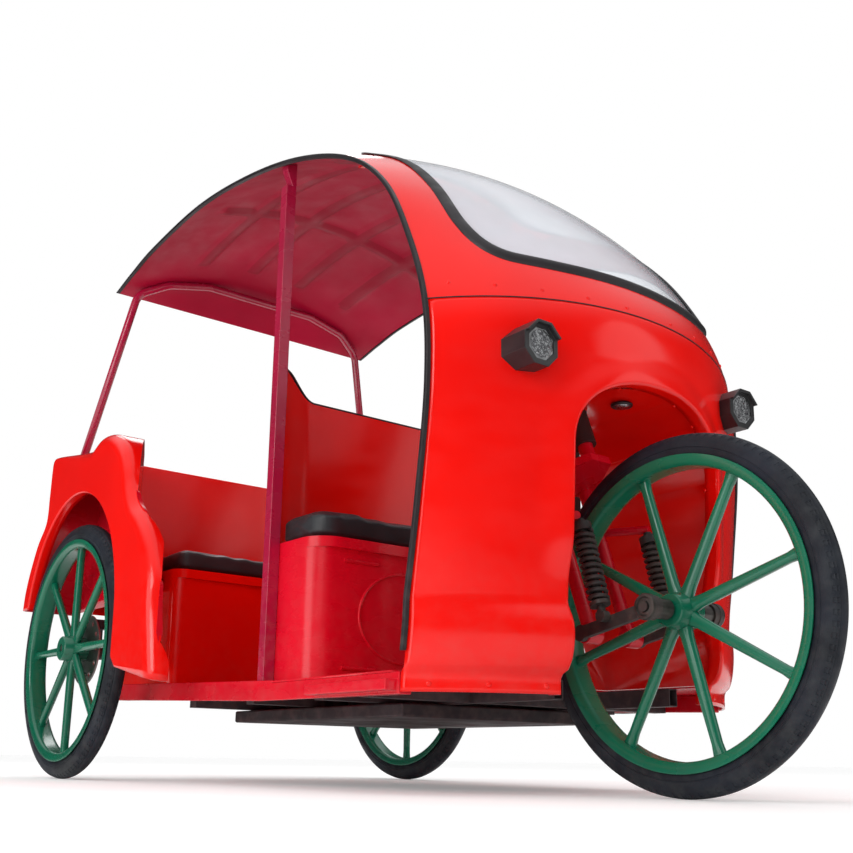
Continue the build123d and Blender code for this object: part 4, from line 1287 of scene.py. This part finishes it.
def makeCushion(node):
    setup = cushionSetup[node]
    padding = paddingSetup
    shape = bmesh.new()
    shape.from_mesh(frame["nodes"][node].data)
    weld(shape, frameWeldGap)
    low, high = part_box(node)
    centre = (low + high) / 2
    size = high - low
    for vertex in shape.verts:
        for axis in range(3):
            less = 1 - 2 * padding["shrink"] / size[axis]
            vertex.co[axis] = centre[axis] + (vertex.co[axis] - centre[axis]) * less
    piece = placed(node + "_pad", meshFrom(shape, node + "Shape"))
    bpy.context.view_layer.objects.active = piece
    remesh = piece.modifiers.new("even", "REMESH")
    remesh.mode = "VOXEL"
    remesh.voxel_size = padding["voxel"]
    bpy.context.view_layer.update()
    applyModifier(piece, remesh)
    start = [vertex.co.copy() for vertex in piece.data.vertices]
    swell(piece, setup["pressure"])
    shape = bmesh.new()
    shape.from_mesh(piece.data)
    waves, bend, bends = padding["foldWaves"]
    for vertex, old in zip(shape.verts, start):
        move = vertex.co - old
        if move.length > setup["cap"]:
            vertex.co = old + move.normalized() * setup["cap"]
        # flat where it rests on its base, hollows where people sit, folds at the front
        share = (vertex.co.z - low.z) / size.z
        y = vertex.co.y
        front = smoothStep((vertex.co.x - (high.x - padding["foldReach"])) / padding["foldFade"])
        wave = 0.5 + 0.5 * sin(y * waves + bend * sin(y * bends))
        vertex.co.z -= padding["foldDepth"] * wave * front * share
        aside = abs(abs(y) - padding["sagPlace"]) - padding["sagHalf"]
        sag = padding["sagDepth"] * (1 - smoothStep(aside / padding["sagFade"])) * smoothStep(
            (vertex.co.x - low.x) / padding["backFade"]) * (1 - front)
        vertex.co.z -= sag * stepBetween(share, *padding["topShares"])
        vertex.co.z = max(low.z, vertex.co.z)
    for turn in range(2):
        bmesh.ops.smooth_vert(shape, verts=shape.verts, factor=0.5, use_axis_x=True,
                use_axis_y=True, use_axis_z=True)
    pad = finishPiece(shape, node + "_padded", blackVinyl, "cushion", sharp=180, replaced=(node,),
            smoothing=1, closeSeams=False)
    bpy.data.objects.remove(piece)


for cushionNode in cushionSetup:
    makeCushion(cushionNode)
print("stage: cushions")


# Construction pieces that keep their own shape, with rounded edges

dressed = [
    (redPaint, "body_red", {"wheel_well": 0.0, "tail_panel": 0.002, "bench_base": 0.003,
        "bench_back": 0.005}),
    # seat base in the darker red of painted shade
    (innerRedPaintedShade, "body_red", {"driver_base": 0.003}),
    (redPaint, "body_red", {"driver_back": 0.0}),
    # floor and sills in the darker red of painted shade
    (innerRedPaintedShade, "cabin_red", {"floor_pan": 0.0, "side_sills": 0.003}),
    (framePaint, "cabin_red", {"chassis_frame": 0.001}),
    (postPaint, "post_paint", {"middle_post_right": 0.004, "middle_post_left": 0.004,
        "rear_hoop": 0.0}),
    (framePaint, "frame_paint", {"battery_box": 0.005}),
    (blackMetal, "black_metal", {"rear_axle": 0.001, "drive_motor": 0.004,
        "leaf_springs": 0.0008, "steering_head": 0.001}),
    # red fork in the darker red of painted shade
    (innerRedPaintedShade, "black_metal", {"steering_fork": 0.001}),
    (blackMetal, "black_metal", {"link_arms": 0.002}),
    (axleSteel, "steel", {"front_axle": 0.001}),
    (bareSteel, "steel", {"handlebar": 0.0, "brake_disc_right": 0.0004,
        "brake_disc_left": 0.0004}),
    (lampPlastic, "lamp_black", {"lamp_pod_right": 0.0025, "lamp_pod_left": 0.0025}),
    (lensGlass, "lens", {"lamp_lenses": 0.001}),
    (tailPlastic, "tail_red", {"tail_lamps": 0.002}),
]
for material, slotName, bevels in dressed:
    for node, bevel in bevels.items():
        dressCopy(node, material, slotName, bevel)
print("stage: construction pieces")
